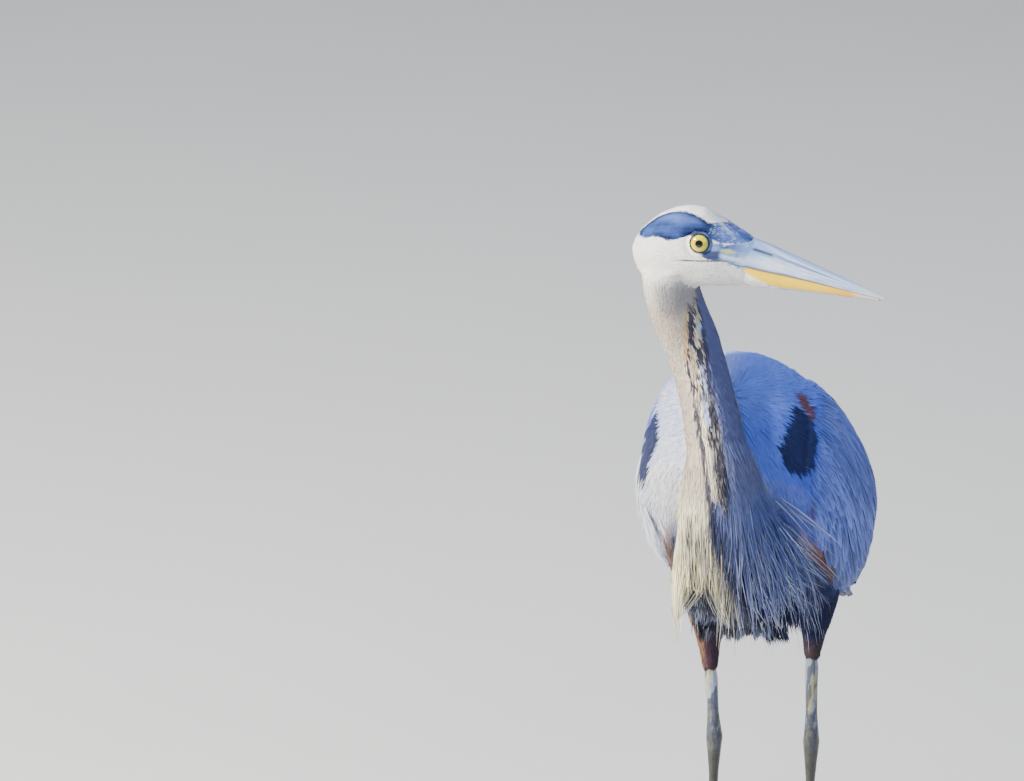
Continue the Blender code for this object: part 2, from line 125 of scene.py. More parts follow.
# Colours as red, green and blue out of 255, on a screen
PALETTE = {
    "white": (248, 248, 246),
    "cream": (232, 222, 198),
    "buff": (212, 172, 126),
    "slate": (56, 84, 152),
    "slate_dark": (16, 28, 70),
    "forecrown": (106, 134, 212),
    # grey under the jaw: partly the throat's own grey, partly painted shadow cast by the head
    "throat": (118, 116, 128),
    "neck_warm": (200, 188, 172),
    # lilac grey darkened as painted shade, for the left side of neck and breast
    "neck_lilac": (74, 87, 144),
    "stripe_dark": (22, 30, 64),
    "stripe_blue": (168, 184, 222),
    "rufous": (104, 60, 10),
    "mantle": (66, 94, 204),
    "mantle_pale": (106, 136, 232),
    # pale grey, and painted sunlight on the right shoulder and wing
    "shoulder_pale": (216, 220, 228),
    "navy": (8, 17, 60),
    "wing": (58, 82, 180),
    "wing_pale": (118, 142, 226),
    "wing_low": (44, 60, 106),
    "quill": (22, 27, 42),
    "tail": (58, 68, 94),
    "belly": (128, 136, 162),
    "flank": (9, 18, 50),
    "plume_grey": (84, 98, 150),
    "plume_cream": (228, 220, 190),
    "plume_straw": (214, 204, 152),
    "plume_tip": (198, 202, 216),
    "plume_lilac": (132, 142, 184),
    "thigh_rufous": (104, 66, 54),
    "lore": (126, 152, 202),
    "lore_spot": (182, 194, 84),
    "lore_dark": (34, 48, 92),
    "orbit": (76, 98, 150),
    "gape": (24, 28, 44),
    "horn_blue": (124, 156, 212),
    "horn_pale": (212, 224, 242),
    "horn_dark": (70, 96, 152),
    "horn_yellow": (250, 208, 26),
    "horn_orange": (236, 172, 64),
    "horn_tip": (200, 204, 200),
    "iris": (222, 206, 6),
    "iris_rim": (150, 128, 24),
    "pupil": (8, 10, 14),
    "shank_pale": (152, 162, 186),
    "shank_yellow": (176, 170, 96),
    "shank_dark": (34, 40, 58),
    "tarsus": (62, 62, 56),
    "claw": (34, 32, 32),
}


# ---------------------------------------------------------------- numbers

def unit(vectors):
    length = np.linalg.norm(vectors, axis=-1, keepdims=True)
    return vectors / np.maximum(length, 1e-9)


def dot(first, second):
    return np.sum(first * second, axis=-1)


def ramp(value, low, high):
    """0 below low and 1 above high, with a soft change between."""
    share = np.clip((value - low) / (high - low), 0.0, 1.0)
    return share * share * (3 - 2 * share)


def fade(value, low, high):
    """1 below low and 0 above high."""
    return 1 - ramp(value, low, high)


def inside(value, low, high, soft):
    """1 from low to high, with soft edges."""
    return ramp(value, low - soft, low + soft) * fade(value, high - soft, high + soft)


def hump(value, middle, width):
    """1 at the middle, falling to 0 on both sides of it."""
    return np.exp(-(((value - middle) / width) ** 2))


def ripple(phase):
    """From 0 to 1 and back, over and over."""
    return 0.5 + 0.5 * np.sin(phase)


def curve(rows, keys):
    """A smooth curve through rows of (key, value, ...), read at many keys."""
    rows = np.array(rows, float)
    keys = np.asarray(keys, float)
    known, values = rows[:, 0], rows[:, 1:]
    slopes = np.gradient(values, known, axis=0)
    index = np.clip(np.searchsorted(known, keys, side="right") - 1, 0, len(known) - 2)
    step = (known[index + 1] - known[index])[:, None]
    share = np.clip((keys - known[index])[:, None] / step, 0.0, 1.0)
    low, high = values[index], values[index + 1]
    slope_low, slope_high = slopes[index] * step, slopes[index + 1] * step
    square, cube = share**2, share**3
    return (
        (2 * cube - 3 * square + 1) * low
        + (cube - 2 * square + share) * slope_low
        + (3 * square - 2 * cube) * high
        + (cube - square) * slope_high
    )


def wander(points, size, seed):
    """Smooth noise from about -1 to 1, with lumps about size across."""
    chance = np.random.default_rng(seed)
    total = np.zeros(len(points))
    for _ in range(6):
        direction = unit(chance.normal(size=3))
        pitch = 2 * pi / (size * chance.uniform(1.2, 3.2))
        total += np.sin(points @ direction * pitch + chance.uniform(0, 2 * pi))
    return np.clip(total / 3, -1.0, 1.0)


def within(across, up, corners):
    """True for the points (across, up) inside a polygon."""
    found = np.zeros(len(across), bool)
    for (x0, y0), (x1, y1) in zip(corners, corners[1:] + corners[:1]):
        crosses = (up < y0) != (up < y1)
        edge = x0 + (up - y0) * (x1 - x0) / (y1 - y0 + 1e-12)
        found ^= crosses & (across < edge)
    return found


def linear(name):
    value = np.array(PALETTE[name]) / 255
    return np.where(value <= 0.04045, value / 12.92, ((value + 0.055) / 1.055) ** 2.4)


def mixed(base, name, share):
    """Colours base turned towards a named colour, each by its own share."""
    share = np.clip(share, 0.0, 1.0)[:, None]
    return base * (1 - share) + linear(name) * share


def plain(name, count):
    return np.tile(linear(name), (count, 1))


class Paint:
    """Colours at many places: one colour under others, each laid over them by a share at each place."""

    def __init__(self, name, places):
        self.colour = plain(name, len(places))

    def __call__(self, name, share):
        self.colour = mixed(self.colour, name, share)
        return self.colour


# ---------------------------------------------------------------- places on the bird

def head_place(points):
    """Distance along the head, out from its middle plane to its right, and height."""
    offset = points - HEAD_START
    return offset @ HEAD_ALONG, offset @ HEAD_RIGHT, points[:, 2]


def head_points(along, out, height):
    along, out, height = np.broadcast_arrays(along, out, height)
    flat = np.stack([along, out], axis=-1) @ np.stack([HEAD_ALONG, HEAD_RIGHT])
    return HEAD_START + flat + height[..., None] * -DOWN


def body_place(points):
    """Distance down the body's line, and the angle round it from the back, left side positive."""
    offset = points - BODY_START
    along, above, across = offset @ BODY_ALONG, offset @ BODY_UP, offset[:, 0]
    return along, np.degrees(np.arctan2(across, above))


def body_spoke(along, angle):
    """The point of the body's line at along, and the way out from it at angle."""
    turn = np.radians(angle)
    start = BODY_START + np.outer(along, BODY_ALONG)
    out = np.outer(np.sin(turn), LEFT) + np.outer(np.cos(turn), BODY_UP)
    return start, out


class Neck:
    """The neck's middle line with its way down, its front and its left side at each step."""

    keys = np.linspace(0.0, 8.0, 161)
    line = curve(NECK_LINE, keys)
    down = unit(np.gradient(line, axis=0))
    left = unit(LEFT - down * down[:, :1])
    front = np.cross(down, left)

    @classmethod
    def place(cls, points):
        """Key down the neck, the angle round it from the throat, and the way down there."""
        gap = np.linalg.norm(points[:, None, :] - cls.line[None, ::2, :], axis=2)
        index = np.argmin(gap, axis=1) * 2
        offset = points - cls.line[index]
        angle = np.degrees(np.arctan2(dot(offset, cls.left[index]), dot(offset, cls.front[index])))
        return cls.keys[index], angle, cls.down[index]


def on_left(points):
    return points[:, 0] > BODY_START[0]


def shoulder_place(points):
    """Level distance round a shoulder from the chest, and height; the same for both sides."""
    side = np.where(on_left(points), 1, -1)
    return (side * points[:, 0] + points[:, 1]) / sqrt(2), points[:, 2]


def from_gape(along, height):
    """How far a place on the side of the face is from the line of the gape."""
    return np.abs(height - curve(GAPE_LINE, along)[:, 0])


# ---------------------------------------------------------------- the way the coat lies

def steady(way):
    """One way to lie, the same at all places."""
    return lambda points, normals: unit(np.tile(way, (len(points), 1)))


lie_chin = steady(-HEAD_ALONG + 0.15 * DOWN)
lie_thigh = steady(DOWN + 0.12 * BODY_ALONG)
lie_edge = steady(DOWN + 0.28 * LEFT)
lie_quill = steady(BODY_ALONG)


def lie_head(points, normals):
    along, _, height = head_place(points)
    rear = fade(along, -0.036, 0.004)
    low = fade(height, 0.722, 0.745)
    way = -HEAD_ALONG + np.outer(rear * 1.5 + 0.22 * (1 - low), DOWN)
    return unit(way)


def lie_neck(points, normals):
    key, angle, down = Neck.place(points)
    fan = ramp(key, 5.2, 7.5) * 0.35
    spread = np.sign(angle) * np.minimum(np.abs(angle) / 90, 1.0) * fan
    return unit(down + np.outer(spread, LEFT))


def lie_body(points, normals):
    """Fanning out from the neck's foot over the front, and running to the tail behind."""
    along, angle = body_place(points)
    front = fade(along, -0.055, 0.050)
    steep = ramp(np.abs(angle), 40, 95) * fade(along, 0.04, 0.20)
    under = ramp(np.abs(angle), 120, 160)
    fan = unit(points - NECK_FOOT) + 0.25 * DOWN
    tailward = BODY_ALONG + np.outer(0.55 * steep * (1 - under), DOWN)
    return unit(fan * front[:, None] + tailward * (1 - front[:, None]))


def lie_wing(points, normals):
    along, angle = body_place(points)
    steep = ramp(np.abs(angle), 25, 95) * fade(along, 0.03, 0.24)
    return unit(BODY_ALONG + np.outer(0.75 * steep, DOWN))


# ---------------------------------------------------------------- markings

def speckled(under, over, most):
    """A tint from one colour to another, by a different share for each vane."""
    return lambda points, chance: Paint(under, points)(over, most * chance.random(len(points)))


tint_chin = speckled("white", "shoulder_pale", 0.4)
tint_wire = speckled("plume_lilac", "plume_tip", 0.8)
tint_tuft = speckled("belly", "plume_grey", 0.5)
tint_flank = speckled("flank", "navy", 1.0)


# Along the head: the lower edge of the dark crown stripe, and half the white crown's width
STRIPE_EDGE = (
    (-0.030, 0.7700), (-0.022, 0.7690), (-0.011, 0.7728), (0.012, 0.7728), (0.020, 0.7762),
    (0.030, 0.7784), (0.041, 0.7800), (0.048, 0.7758), (0.056, 0.7725), (0.070, 0.7712),
)
CROWN_HALF = (
    (-0.030, 0.0020), (-0.007, 0.0052), (0.013, 0.0086), (0.032, 0.0123), (0.047, 0.0130),
    (0.056, 0.0060), (0.062, 0.0000),
)
GAPE_LINE = ((0.012, 0.7522), (0.040, 0.7532), (0.062, 0.7528), (0.074, 0.7484), (0.090, 0.7458))


def tint_head(points, chance):
    """White, with a dark stripe over each eye, a mottled forecrown and a fine line from the gape."""
    along, out, height = head_place(points)
    out = np.abs(out)
    ragged = chance.normal(0.0, 0.4 * MM, len(points))
    paint = Paint("white", points)
    paint("cream", 0.35 * (fade(along, 0.00, 0.05) * fade(height, 0.73, 0.76)))
    edge = curve(STRIPE_EDGE, along)[:, 0]
    crown = curve(CROWN_HALF, along)[:, 0]
    above = ramp(height + ragged, edge - 0.5 * MM, edge + 0.5 * MM)
    beside = ramp(out + ragged, crown - 0.7 * MM, crown + 0.7 * MM)
    stripe = above * beside * ramp(along, -0.031, -0.026)
    paint("slate", stripe)
    # Mottling in the stripe, darker at its edges and paler towards the bill
    edges = 1 - np.minimum(ramp(height, edge, edge + 6 * MM), ramp(out, crown, crown + 6 * MM))
    cloud = wander(points * (0.5, 1.0, 1.0), 7 * MM, 3)
    streaks = wander(points * (0.45, 1.2, 1.2), 4 * MM, 5)
    dark = 0.34 + 0.45 * edges + 0.32 * cloud + 0.25 * streaks
    dark = dark + 0.25 * inside(along, 0.020, 0.046, 0.01) - 0.25 * fade(along, -0.020, 0.005)
    paint("slate_dark", stripe * np.clip(dark, 0.0, 0.95))
    paint("forecrown", 0.55 * stripe * ramp(height, 0.785, 0.793) * (1 - edges))
    fore = stripe * ramp(along, 0.044, 0.060)
    paint("forecrown", fore * np.clip(0.70 + 0.45 * cloud + 0.25 * streaks, 0.0, 1.0))
    # Pale on the forecrown: a wedge and some flecks
    wedge = np.abs(height - 0.7925 + 0.86 * (along - 0.0507))
    wedge = fade(wedge, 1.0 * MM, 2.4 * MM) * inside(along, 0.047, 0.068, 0.003)
    paint("horn_pale", 0.85 * above * wedge * (0.55 + 0.45 * streaks))
    flecks = (chance.random(len(points)) < 0.12) & (along > 0.046) & (along < 0.074)
    paint("horn_pale", 0.75 * flecks * above)
    # Grey under the jaw, partly its own colour and partly painted shadow cast by the head
    paint("throat", 0.5 * (fade(height, 0.7185, 0.7265) * fade(along, 0.000, 0.040)))
    line = fade(from_gape(along, height), 0.5 * MM, 1.3 * MM)
    line = line * ramp(along, 0.008, 0.024) * (along < 0.075)
    return paint("lore_dark", 0.85 * line)


# Down the neck: the angle of the front stripe's middle, and half its width, in degrees
NECK_STRIPE = (
    (0.0, 84, 10), (1.2, 62, 13), (1.85, 46, 17), (2.65, 27, 19), (4.1, 6, 16), (5.1, 5, 15),
    (6.0, 5, 15), (6.7, 6, 13), (7.2, 8, 11), (8.0, 9, 10),
)


def tint_neck(points, chance):
    """Warm grey, a darker lilac on the left side as painted shade, with a streaked stripe down the
    front.
    """
    key, angle, _ = Neck.place(points)
    middle, half = curve(NECK_STRIPE, key).T
    angle = angle + chance.normal(0.0, 1.6, len(points))
    place = (angle - middle) / half
    pick = chance.random(len(points))
    paint = Paint("neck_warm", points)
    # Painted shade: the neck's left side turned a darker lilac
    paint("neck_lilac", 0.92 * (ramp(place, 0.7, 1.6) * fade(place, 7.0, 9.0)))
    # Grey at the neck's top, front and left: partly its own colour, partly painted shadow cast by the
    # head
    paint("throat", 0.8 * fade(key, 0.9, 1.7) * ramp(angle, -30, 5))
    start = inside(key, 0.75, 1.45, 0.15) * inside(place, -1.3, 1.3, 0.3)
    paint("stripe_dark", 0.7 * start * ramp(wander(points, 8 * MM, 67), -0.3, 0.3))
    pale = fade(key, 0.2, 1.5) * (1 - 0.7 * ramp(angle, -50, 0) * ramp(key, 0.2, 0.6))
    paint("white", 0.85 * pale)
    neck_upper_stripe(paint, points, key, place, pick)
    return neck_lower_stripe(paint, key, place, pick)


def neck_upper_stripe(paint, points, key, place, pick):
    """Short dashes of dark, cream and chestnut between a buff line and a dark one."""
    span = inside(key, 1.35, 4.6, 0.20)
    streak = wander(points * (1.0, 1.0, 0.30), 6 * MM, 5) + 1.1 * (pick - 0.5)
    dashes = span * inside(place, -0.95, 0.85, 0.12)
    paint("stripe_dark", 0.92 * dashes * (streak <= 0.12))
    paint("cream", 0.95 * dashes * (streak > 0.12))
    paint("rufous", 0.45 * dashes * (streak > 0.42))
    buff = inside(place, -1.20, -0.85, 0.12) * fade(key, 2.9, 3.4)
    paint("buff", 0.85 * span * buff)
    pale = inside(place, 0.45, 0.95, 0.10) * (inside(key, 1.75, 2.25, 0.1) + ramp(key, 3.3, 3.6))
    paint("stripe_blue", 0.95 * span * pale)
    dark = inside(place, 0.95, 1.45, 0.15) + inside(place, -1.10, -0.85, 0.10) * ramp(key, 3.0, 3.3)
    return paint("stripe_dark", 0.85 * span * dark)


def neck_lower_stripe(paint, key, place, pick):
    """Long bands side by side: dark, cream with some chestnut, bluish white above, dark again."""
    lower, below = ramp(key, 4.3, 4.8), ramp(key, 5.15, 5.45)
    drift = 0.60 * ramp(key, 5.2, 6.6)
    place = place - drift
    paint("stripe_dark", 0.9 * lower * inside(place, -1.6, -1.05, 0.12))
    paint("cream", 0.95 * lower * inside(place, -1.05, -0.40, 0.12))
    rust = inside(place, -1.0, -0.60, 0.12) * (pick < 0.45)
    paint("rufous", 0.6 * lower * rust * fade(key, 5.9, 6.5))
    middle = inside(place, -0.35, 0.30, 0.12) * (1 - below)
    paint("stripe_blue", 0.9 * lower * middle)
    wide = 1.15 + 0.5 * ramp(key, 5.6, 6.8) - drift
    dark = inside(place, 0.30 - 0.70 * below, wide, 0.12)
    paint("flank", (0.92 - 0.40 * below * (pick < 0.25)) * lower * dark)
    beside = inside(place, wide, wide + 0.6, 0.2) * (pick < 0.20)
    return paint("stripe_blue", 0.4 * lower * beside)


# The dark shoulder patches and the chestnut over them, as shoulder places
LEFT_PATCH = [
    (-0.0385, 0.5732), (-0.0544, 0.5575), (-0.0662, 0.5410), (-0.0646, 0.5219),
    (-0.0470, 0.5117), (-0.0311, 0.5152), (-0.0207, 0.5413), (-0.0223, 0.5594),
]
RIGHT_PATCH = [
    (-0.0118, 0.5529), (-0.0373, 0.5344), (-0.0339, 0.5126), (-0.0246, 0.4797),
    (-0.0056, 0.4867), (0.0080, 0.5150), (0.0052, 0.5297),
]
LEFT_CHESTNUT = [
    (-0.0346, 0.5785), (-0.0265, 0.5800), (-0.0115, 0.5722), (-0.0185, 0.5540), (-0.0271, 0.5647),
]
RIGHT_CHESTNUT = [(-0.0160, 0.5600), (-0.0110, 0.5700), (-0.0020, 0.5700), (-0.0050, 0.5590)]
SHOULDER_RISE = 4 * MM                            # all of these lie this much higher
CHEST_SPOT = np.array((0.078, -0.120, 0.476))     # a few chestnut feathers at the breast's left edge
CHEST_SPOT_SIZE = 9 * MM


def tint_body(points, chance):
    """The trunk from the shoulders back, both sides of the wings, belly and rump."""
    along, angle = body_place(points)
    across, _, height = points.T
    turn = np.abs(angle)
    paint = Paint("mantle", points)
    # Paler over the top of the mantle's front: painted light from above
    paint("mantle_pale", 0.9 * (fade(turn, 10, 75) * fade(along, 0.0, 0.1)))
    paint("mantle_pale", 0.45 * np.maximum(wander(points, 30 * MM, 11), 0.0))
    # Painted light: the mantle paler beside the neck on the left side
    lit_beside_neck = inside(height, 0.47, 0.565, 0.02) * inside(across, 0.0, 0.055, 0.015)
    paint("mantle_pale", 0.40 * lit_beside_neck * (turn > 60))
    front = fade(along, -0.060, 0.040)
    # Painted sunlight: the front of the right shoulder turned pale
    paint("shoulder_pale", 0.80 * (fade(across, -0.045, 0.010) * front))
    chest = ramp(turn, 112, 140) * front
    # Cream on the right and blue-grey on the left: the difference is partly painted light and shade
    paint("cream", 0.8 * chest * fade(across, -0.020, 0.012))
    paint("plume_grey", 0.8 * chest * ramp(across, -0.020, 0.012))
    # Belly, then the edge under the wings, lower on the right: painted sunlight on the right side, dark
    # flank and a line of rust
    paint("belly", ramp(turn, 128, 146) * (1 - front))
    left = on_left(points)
    edge = np.where(left, turn, turn - 7)
    pale = ~left * inside(turn, 78, 137, 3) * fade(along, 0.07, 0.17)
    paint("shoulder_pale", 0.85 * pale)
    flank = inside(edge, 132, 168, 4) * ramp(along, -0.020, 0.020) * fade(along, 0.20, 0.28)
    paint("navy", 0.92 * flank)
    rust = inside(edge, 127.5, 133.5, 1.0) * inside(along, 0.0, 0.150, 0.01)
    paint("buff", 0.45 * rust * fade(along, 0.03, 0.07))
    paint("rufous", 0.85 * rust * ramp(along, 0.0, 0.05))
    paint("tail", 0.9 * ramp(along, 0.24, 0.34))
    spot = np.linalg.norm(points - CHEST_SPOT, axis=1) < CHEST_SPOT_SIZE
    paint("rufous", 0.8 * spot * (chance.random(len(points)) < 0.4))
    return tint_shoulder(paint, points, chance)


def tint_shoulder(paint, points, chance):
    """The dark patch of each shoulder with its chestnut spot, a little ragged."""
    across, height = shoulder_place(points)
    jitter = chance.normal(0.0, 0.8 * MM, (2, len(points)))
    across, height = across + jitter[0], height + jitter[1] - SHOULDER_RISE
    left = on_left(points)
    patch = np.where(left, within(across, height, LEFT_PATCH), within(across, height, RIGHT_PATCH))
    paint("navy", 0.97 * patch)
    paint("rufous", 0.9 * left * within(across, height, LEFT_CHESTNUT))
    return paint("buff", 0.8 * ~left * within(across, height, RIGHT_CHESTNUT))


def tint_wing(points, chance):
    """Blue coverts streaked light and dark, duller below, with a line of rust at the wrist."""
    along, angle = body_place(points)
    turn = np.abs(angle)
    left = on_left(points)
    paint = Paint("wing", points)
    paint("tail", 0.7 * ramp(along, 0.16, 0.32))
    paint("wing_pale", 0.30 + 0.30 * wander(points, 26 * MM, 17))
    pick = chance.random(len(points))
    streaked = ramp(along, -0.02, 0.02)
    paint("wing_low", 0.75 * (pick < 0.22) * streaked)
    paint("wing_pale", 0.75 * (pick > 0.72) * streaked)
    # Painted shade: a darker band below the scapular plumes
    paint("wing_low", 0.45 * inside(turn, 45, 84, 10) * streaked)
    paint("wing_low", 0.7 * (ramp(turn, 95, 125) * ramp(along, 0.02, 0.10)))
    # Painted sunlight: the front of the right wing turned pale
    paint("shoulder_pale", 0.85 * (~left * ramp(turn, 70, 96) * fade(along, 0.07, 0.17)))
    rust = left * ramp(turn, 126.5, 128.5) * inside(along, 0.020, 0.110, 0.01)
    paint("buff", 0.60 * rust * fade(along, 0.04, 0.07))
    paint("rufous", 0.90 * rust * ramp(along, 0.03, 0.06))
    paint("quill", 0.50 * rust * ramp(along, 0.06, 0.10))
    return tint_shoulder(paint, points, chance)


def breast_sides(points):
    """1 on the breast's left side and 0 on its right, and how near the dark seam between them is."""
    across, _, height = points.T
    side = across + 0.18 * (height - 0.50) + 3 * MM * wander(points, 20 * MM, 23)
    seam = inside(side, -0.004, 0.007, 0.003)
    return ramp(side, -0.004, 0.004), seam * ramp(height, 0.34, 0.38)


def tint_plumes(points, chance):
    """Cream plumes on the right, dark among them towards the middle, and blue-grey on the left, partly
    painted shade.
    """
    across, _, height = points.T
    left, seam = breast_sides(points)
    paint = Paint("plume_cream", points)
    # Blue-grey on the left, partly painted shade
    paint("plume_grey", left)
    # Painted shade: the left plumes near the neck turned lilac
    paint("neck_lilac", 0.5 * left * ramp(height, 0.42, 0.48))
    straw = (1 - left) * fade(height, 0.43, 0.48)
    paint("plume_straw", straw * chance.random(len(points)))
    # Dark strands among the plumes, in the navy of the feathers under them, as painted shade in the
    # gaps between plumes
    shaded_gaps = (chance.random(len(points)) < 0.16 + 0.06 * left) * fade(height, 0.46, 0.50)
    paint("flank", 0.55 * shaded_gaps)
    inner = (1 - left) * ramp(across, -0.046, -0.018) * fade(height, 0.470, 0.515)
    paint("flank", 0.72 * (chance.random(len(points)) < 0.66 * inner))
    return paint("stripe_dark", 0.92 * seam)


def tint_breast(points, chance):
    """The shorter feathers that show dark between the plumes."""
    across, _, height = points.T
    left, seam = breast_sides(points)
    paint = Paint("plume_cream", points)
    paint("plume_grey", 0.35 + 0.65 * left)
    # Dark low down in the under-feathers' own navy, and darker on the left as painted shade
    paint("flank", np.clip(0.92 * fade(height, 0.43, 0.475) + 0.5 * left, 0.0, 0.95))
    pale = (wander(points, 9 * MM, 29) > 0.12) * fade(height, 0.385, 0.41)
    paint("belly", 0.80 * (pale * fade(across, 0.034, 0.044)))
    return paint("stripe_dark", 0.85 * seam)


def tint_thigh(points, chance):
    """Navy above and chestnut below, darkened as painted shade on the left leg and on the right one's
    inner side.
    """
    across, _, height = points.T
    right = across < 0
    turn = np.where(right, 0.298 - 1.4 * (across + 0.054), 0.287)
    pick = chance.random(len(points))
    paint = Paint("navy", points)
    paint("flank", 0.8 * (pick < 0.4))
    rust = fade(height, turn - 0.012, turn + 0.014)
    outer = ramp(-across, 0.052, 0.062)
    paint("thigh_rufous", rust * np.where(right, 0.42 + 0.53 * outer, 0.34))
    # Painted shade: the right thigh's inner side and the left thigh darkened
    paint("shank_dark", 0.30 * rust * right * (1 - outer))
    paint("tarsus", 0.40 * rust * ~right)
    paint("buff", 0.35 * rust * right * outer * (pick > 0.5))
    pale = right * ramp(height, 0.315, 0.335) * (across < -0.045)
    return paint("mantle_pale", 0.6 * pale)


def tint_flesh(points, nodes, chance):
    """Skin colours: the coat's own markings, by the node under each point."""
    colour = np.zeros((len(points), 3))
    tints = {"breast": tint_breast}
    tints.update(dict.fromkeys(THIGH_NODES, tint_thigh))
    tints.update(dict.fromkeys(HEAD_NODES, tint_head))
    tints.update(dict.fromkeys(NECK_NODES, tint_neck))
    tints.update(dict.fromkeys(("trunk", "tail"), tint_body))
    for side_name in SIDES:
        tints["wing_" + side_name] = tint_wing
        tints["primaries_" + side_name] = tint_quill
    for name, tint in tints.items():
        chosen = nodes == FLESH.index(name)
        colour[chosen] = tint(points[chosen], chance)
    return colour


# ---------------------------------------------------------------- meshes

def piece_from(name, points, faces, colours, material, layers=()):
    """A shown mesh from arrays. faces is an array of quads, layers are (name, uv per point)."""
    mesh = bpy.data.meshes.new(name)
    count, corners = len(faces), faces.size
    mesh.vertices.add(len(points))
    mesh.vertices.foreach_set("co", (points + HOME).astype(np.float32).ravel())
    mesh.loops.add(corners)
    mesh.loops.foreach_set("vertex_index", faces.astype(np.int32).ravel())
    mesh.polygons.add(count)
    mesh.polygons.foreach_set("loop_start", np.arange(0, corners, faces.shape[1], dtype=np.int32))
    mesh.update(calc_edges=True)
    tint = mesh.attributes.new("tint", "FLOAT_COLOR", "POINT")
    rgba = np.ones((len(points), 4), np.float32)
    rgba[:, :3] = colours
    tint.data.foreach_set("color", rgba.ravel())
    for layer, places in layers:
        made = mesh.uv_layers.new(name=layer)
        made.uv.foreach_set("vector", places[faces.ravel()].astype(np.float32).ravel())
    mesh.shade_smooth()
    mesh.materials.append(material)
    piece = bpy.data.objects.new(name, mesh)
    bpy.context.scene.collection.objects.link(piece)
    return piece


def publish(piece, slot, *nodes):
    """Set a piece on the bird's body, standing for CAD nodes where it covers them."""
    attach(piece, "root")
    if nodes:
        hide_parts(*nodes)


def grid_faces(rows, columns, closed=False):
    """Quads between the points of a grid, row by row."""
    across = np.arange(columns if closed else columns - 1)
    following = (across + 1) % columns
    down = np.arange(rows - 1)[:, None] * columns
    return np.stack(
        [down + across, down + following, down + columns + following, down + columns + across],
        axis=-1,
    ).reshape(-1, 4)


class Surface:
    """A mesh of quads that points can be dropped onto, with smooth normals."""

    def __init__(self, points, faces, owners=None):
        self.points = points
        self.faces = faces
        self.owners = owners
        corners = [tuple(face) for face in faces.tolist()]
        self.tree = BVHTree.FromPolygons(points.tolist(), corners)
        first, second, third, fourth = (points[faces[:, k]] for k in range(4))
        cross = np.cross(third - first, fourth - second)
        self.areas = np.linalg.norm(cross, axis=1) / 2
        self.centres = (first + second + third + fourth) / 4
        total = np.zeros_like(points)
        for k in range(4):
            np.add.at(total, faces[:, k], cross)
        self.vertex_normals = unit(total)
        self.normals = unit(self.vertex_normals[faces].mean(axis=1))

    def on(self, *names):
        """True for the faces over the named nodes of FLESH."""
        return np.isin(self.owners, [FLESH.index(name) for name in names])

    def nearest(self, points):
        """The closest places on the surface, and the normals there."""
        places, indices = np.empty_like(points), np.empty(len(points), int)
        for k, point in enumerate(points.tolist()):
            place, _, indices[k], _ = self.tree.find_nearest(point)
            places[k] = place
        return places, self.normals[indices]

    def hit(self, starts, ways):
        """Where rays first meet the surface; not a number where they miss."""
        places = np.full_like(starts, np.nan)
        for k, (start, way) in enumerate(zip(starts.tolist(), ways.tolist())):
            place = self.tree.ray_cast(start, way)[0]
            if place is not None:
                places[k] = place
        return places

    def thickness(self, points, normals, reach):
        """How thick the form is behind each point, up to reach."""
        thick = np.full(len(points), reach)
        starts = points - normals * (0.2 * MM)
        for k, (start, way) in enumerate(zip(starts.tolist(), (-normals).tolist())):
            distance = self.tree.ray_cast(start, way, reach)[3]
            if distance is not None:
                thick[k] = distance
        return thick


def read(rows, field, kind, size=1):
    """One field of all the points, loops or polygons of a mesh."""
    values = np.empty(len(rows) * size, kind)
    rows.foreach_get(field, values)
    return values


def mesh_arrays(mesh):
    """A quad mesh's points and faces; a triangle's last corner is repeated."""
    points = read(mesh.vertices, "co", np.float32, 3).reshape(-1, 3)
    corners = read(mesh.loops, "vertex_index", np.int32)
    starts = read(mesh.polygons, "loop_start", np.int32)
    totals = np.diff(np.append(starts, len(corners)))
    steps = np.minimum(np.arange(4)[None, :], totals[:, None] - 1)
    return points.astype(float) - HOME, corners[starts[:, None] + steps]


def joined(parts):
    """Several meshes as one. Each is given as its points, faces and colours."""
    points, faces, colours = zip(*parts)
    starts = np.cumsum([0] + [len(some) for some in points])
    faces = [some + start for some, start in zip(faces, starts)]
    return np.concatenate(points), np.concatenate(faces), np.concatenate(colours)


def joined_nodes(frame, names):
    """The nodes' solids as one mesh, and the node that each face belongs to."""
    form = bmesh.new()
    owners = []
    for index, name in enumerate(names):
        before = len(form.faces)
        form.from_mesh(frame["nodes"][name].data)
        owners += [index] * (len(form.faces) - before)
    mesh = bpy.data.meshes.new("joined")
    form.to_mesh(mesh)
    form.free()
    return mesh, np.array(owners)


def reshaped(mesh, *modifiers):
    """The points and faces of a mesh after modifiers, each given as its kind and its settings."""
    lump = bpy.data.objects.new("lump", mesh)
    bpy.context.scene.collection.objects.link(lump)
    for kind, settings in modifiers:
        modifier = lump.modifiers.new(kind, kind)
        for name, value in settings.items():
            setattr(modifier, name, value)
    seen = bpy.context.evaluated_depsgraph_get()
    points, faces = mesh_arrays(lump.evaluated_get(seen).to_mesh())
    bpy.data.objects.remove(lump)
    return points, faces


def melted(mesh, voxel, rounds):
    """One smooth quad surface round everything in the mesh."""
    remesh = ("REMESH", {"mode": "VOXEL", "voxel_size": voxel})
    smooth = ("SMOOTH", {"factor": 0.5, "iterations": rounds})
    return Surface(*reshaped(mesh, remesh, smooth))


def neighbour_mean(values, faces, rounds):
    """Values per point, evened out over the faces round them."""
    for _ in range(rounds):
        total = np.zeros(len(values))
        number = np.zeros(len(values))
        face_mean = values[faces].mean(axis=1)
        for k in range(4):
            np.add.at(total, faces[:, k], face_mean)
            np.add.at(number, faces[:, k], 1)
        values = total / np.maximum(number, 1)
    return values


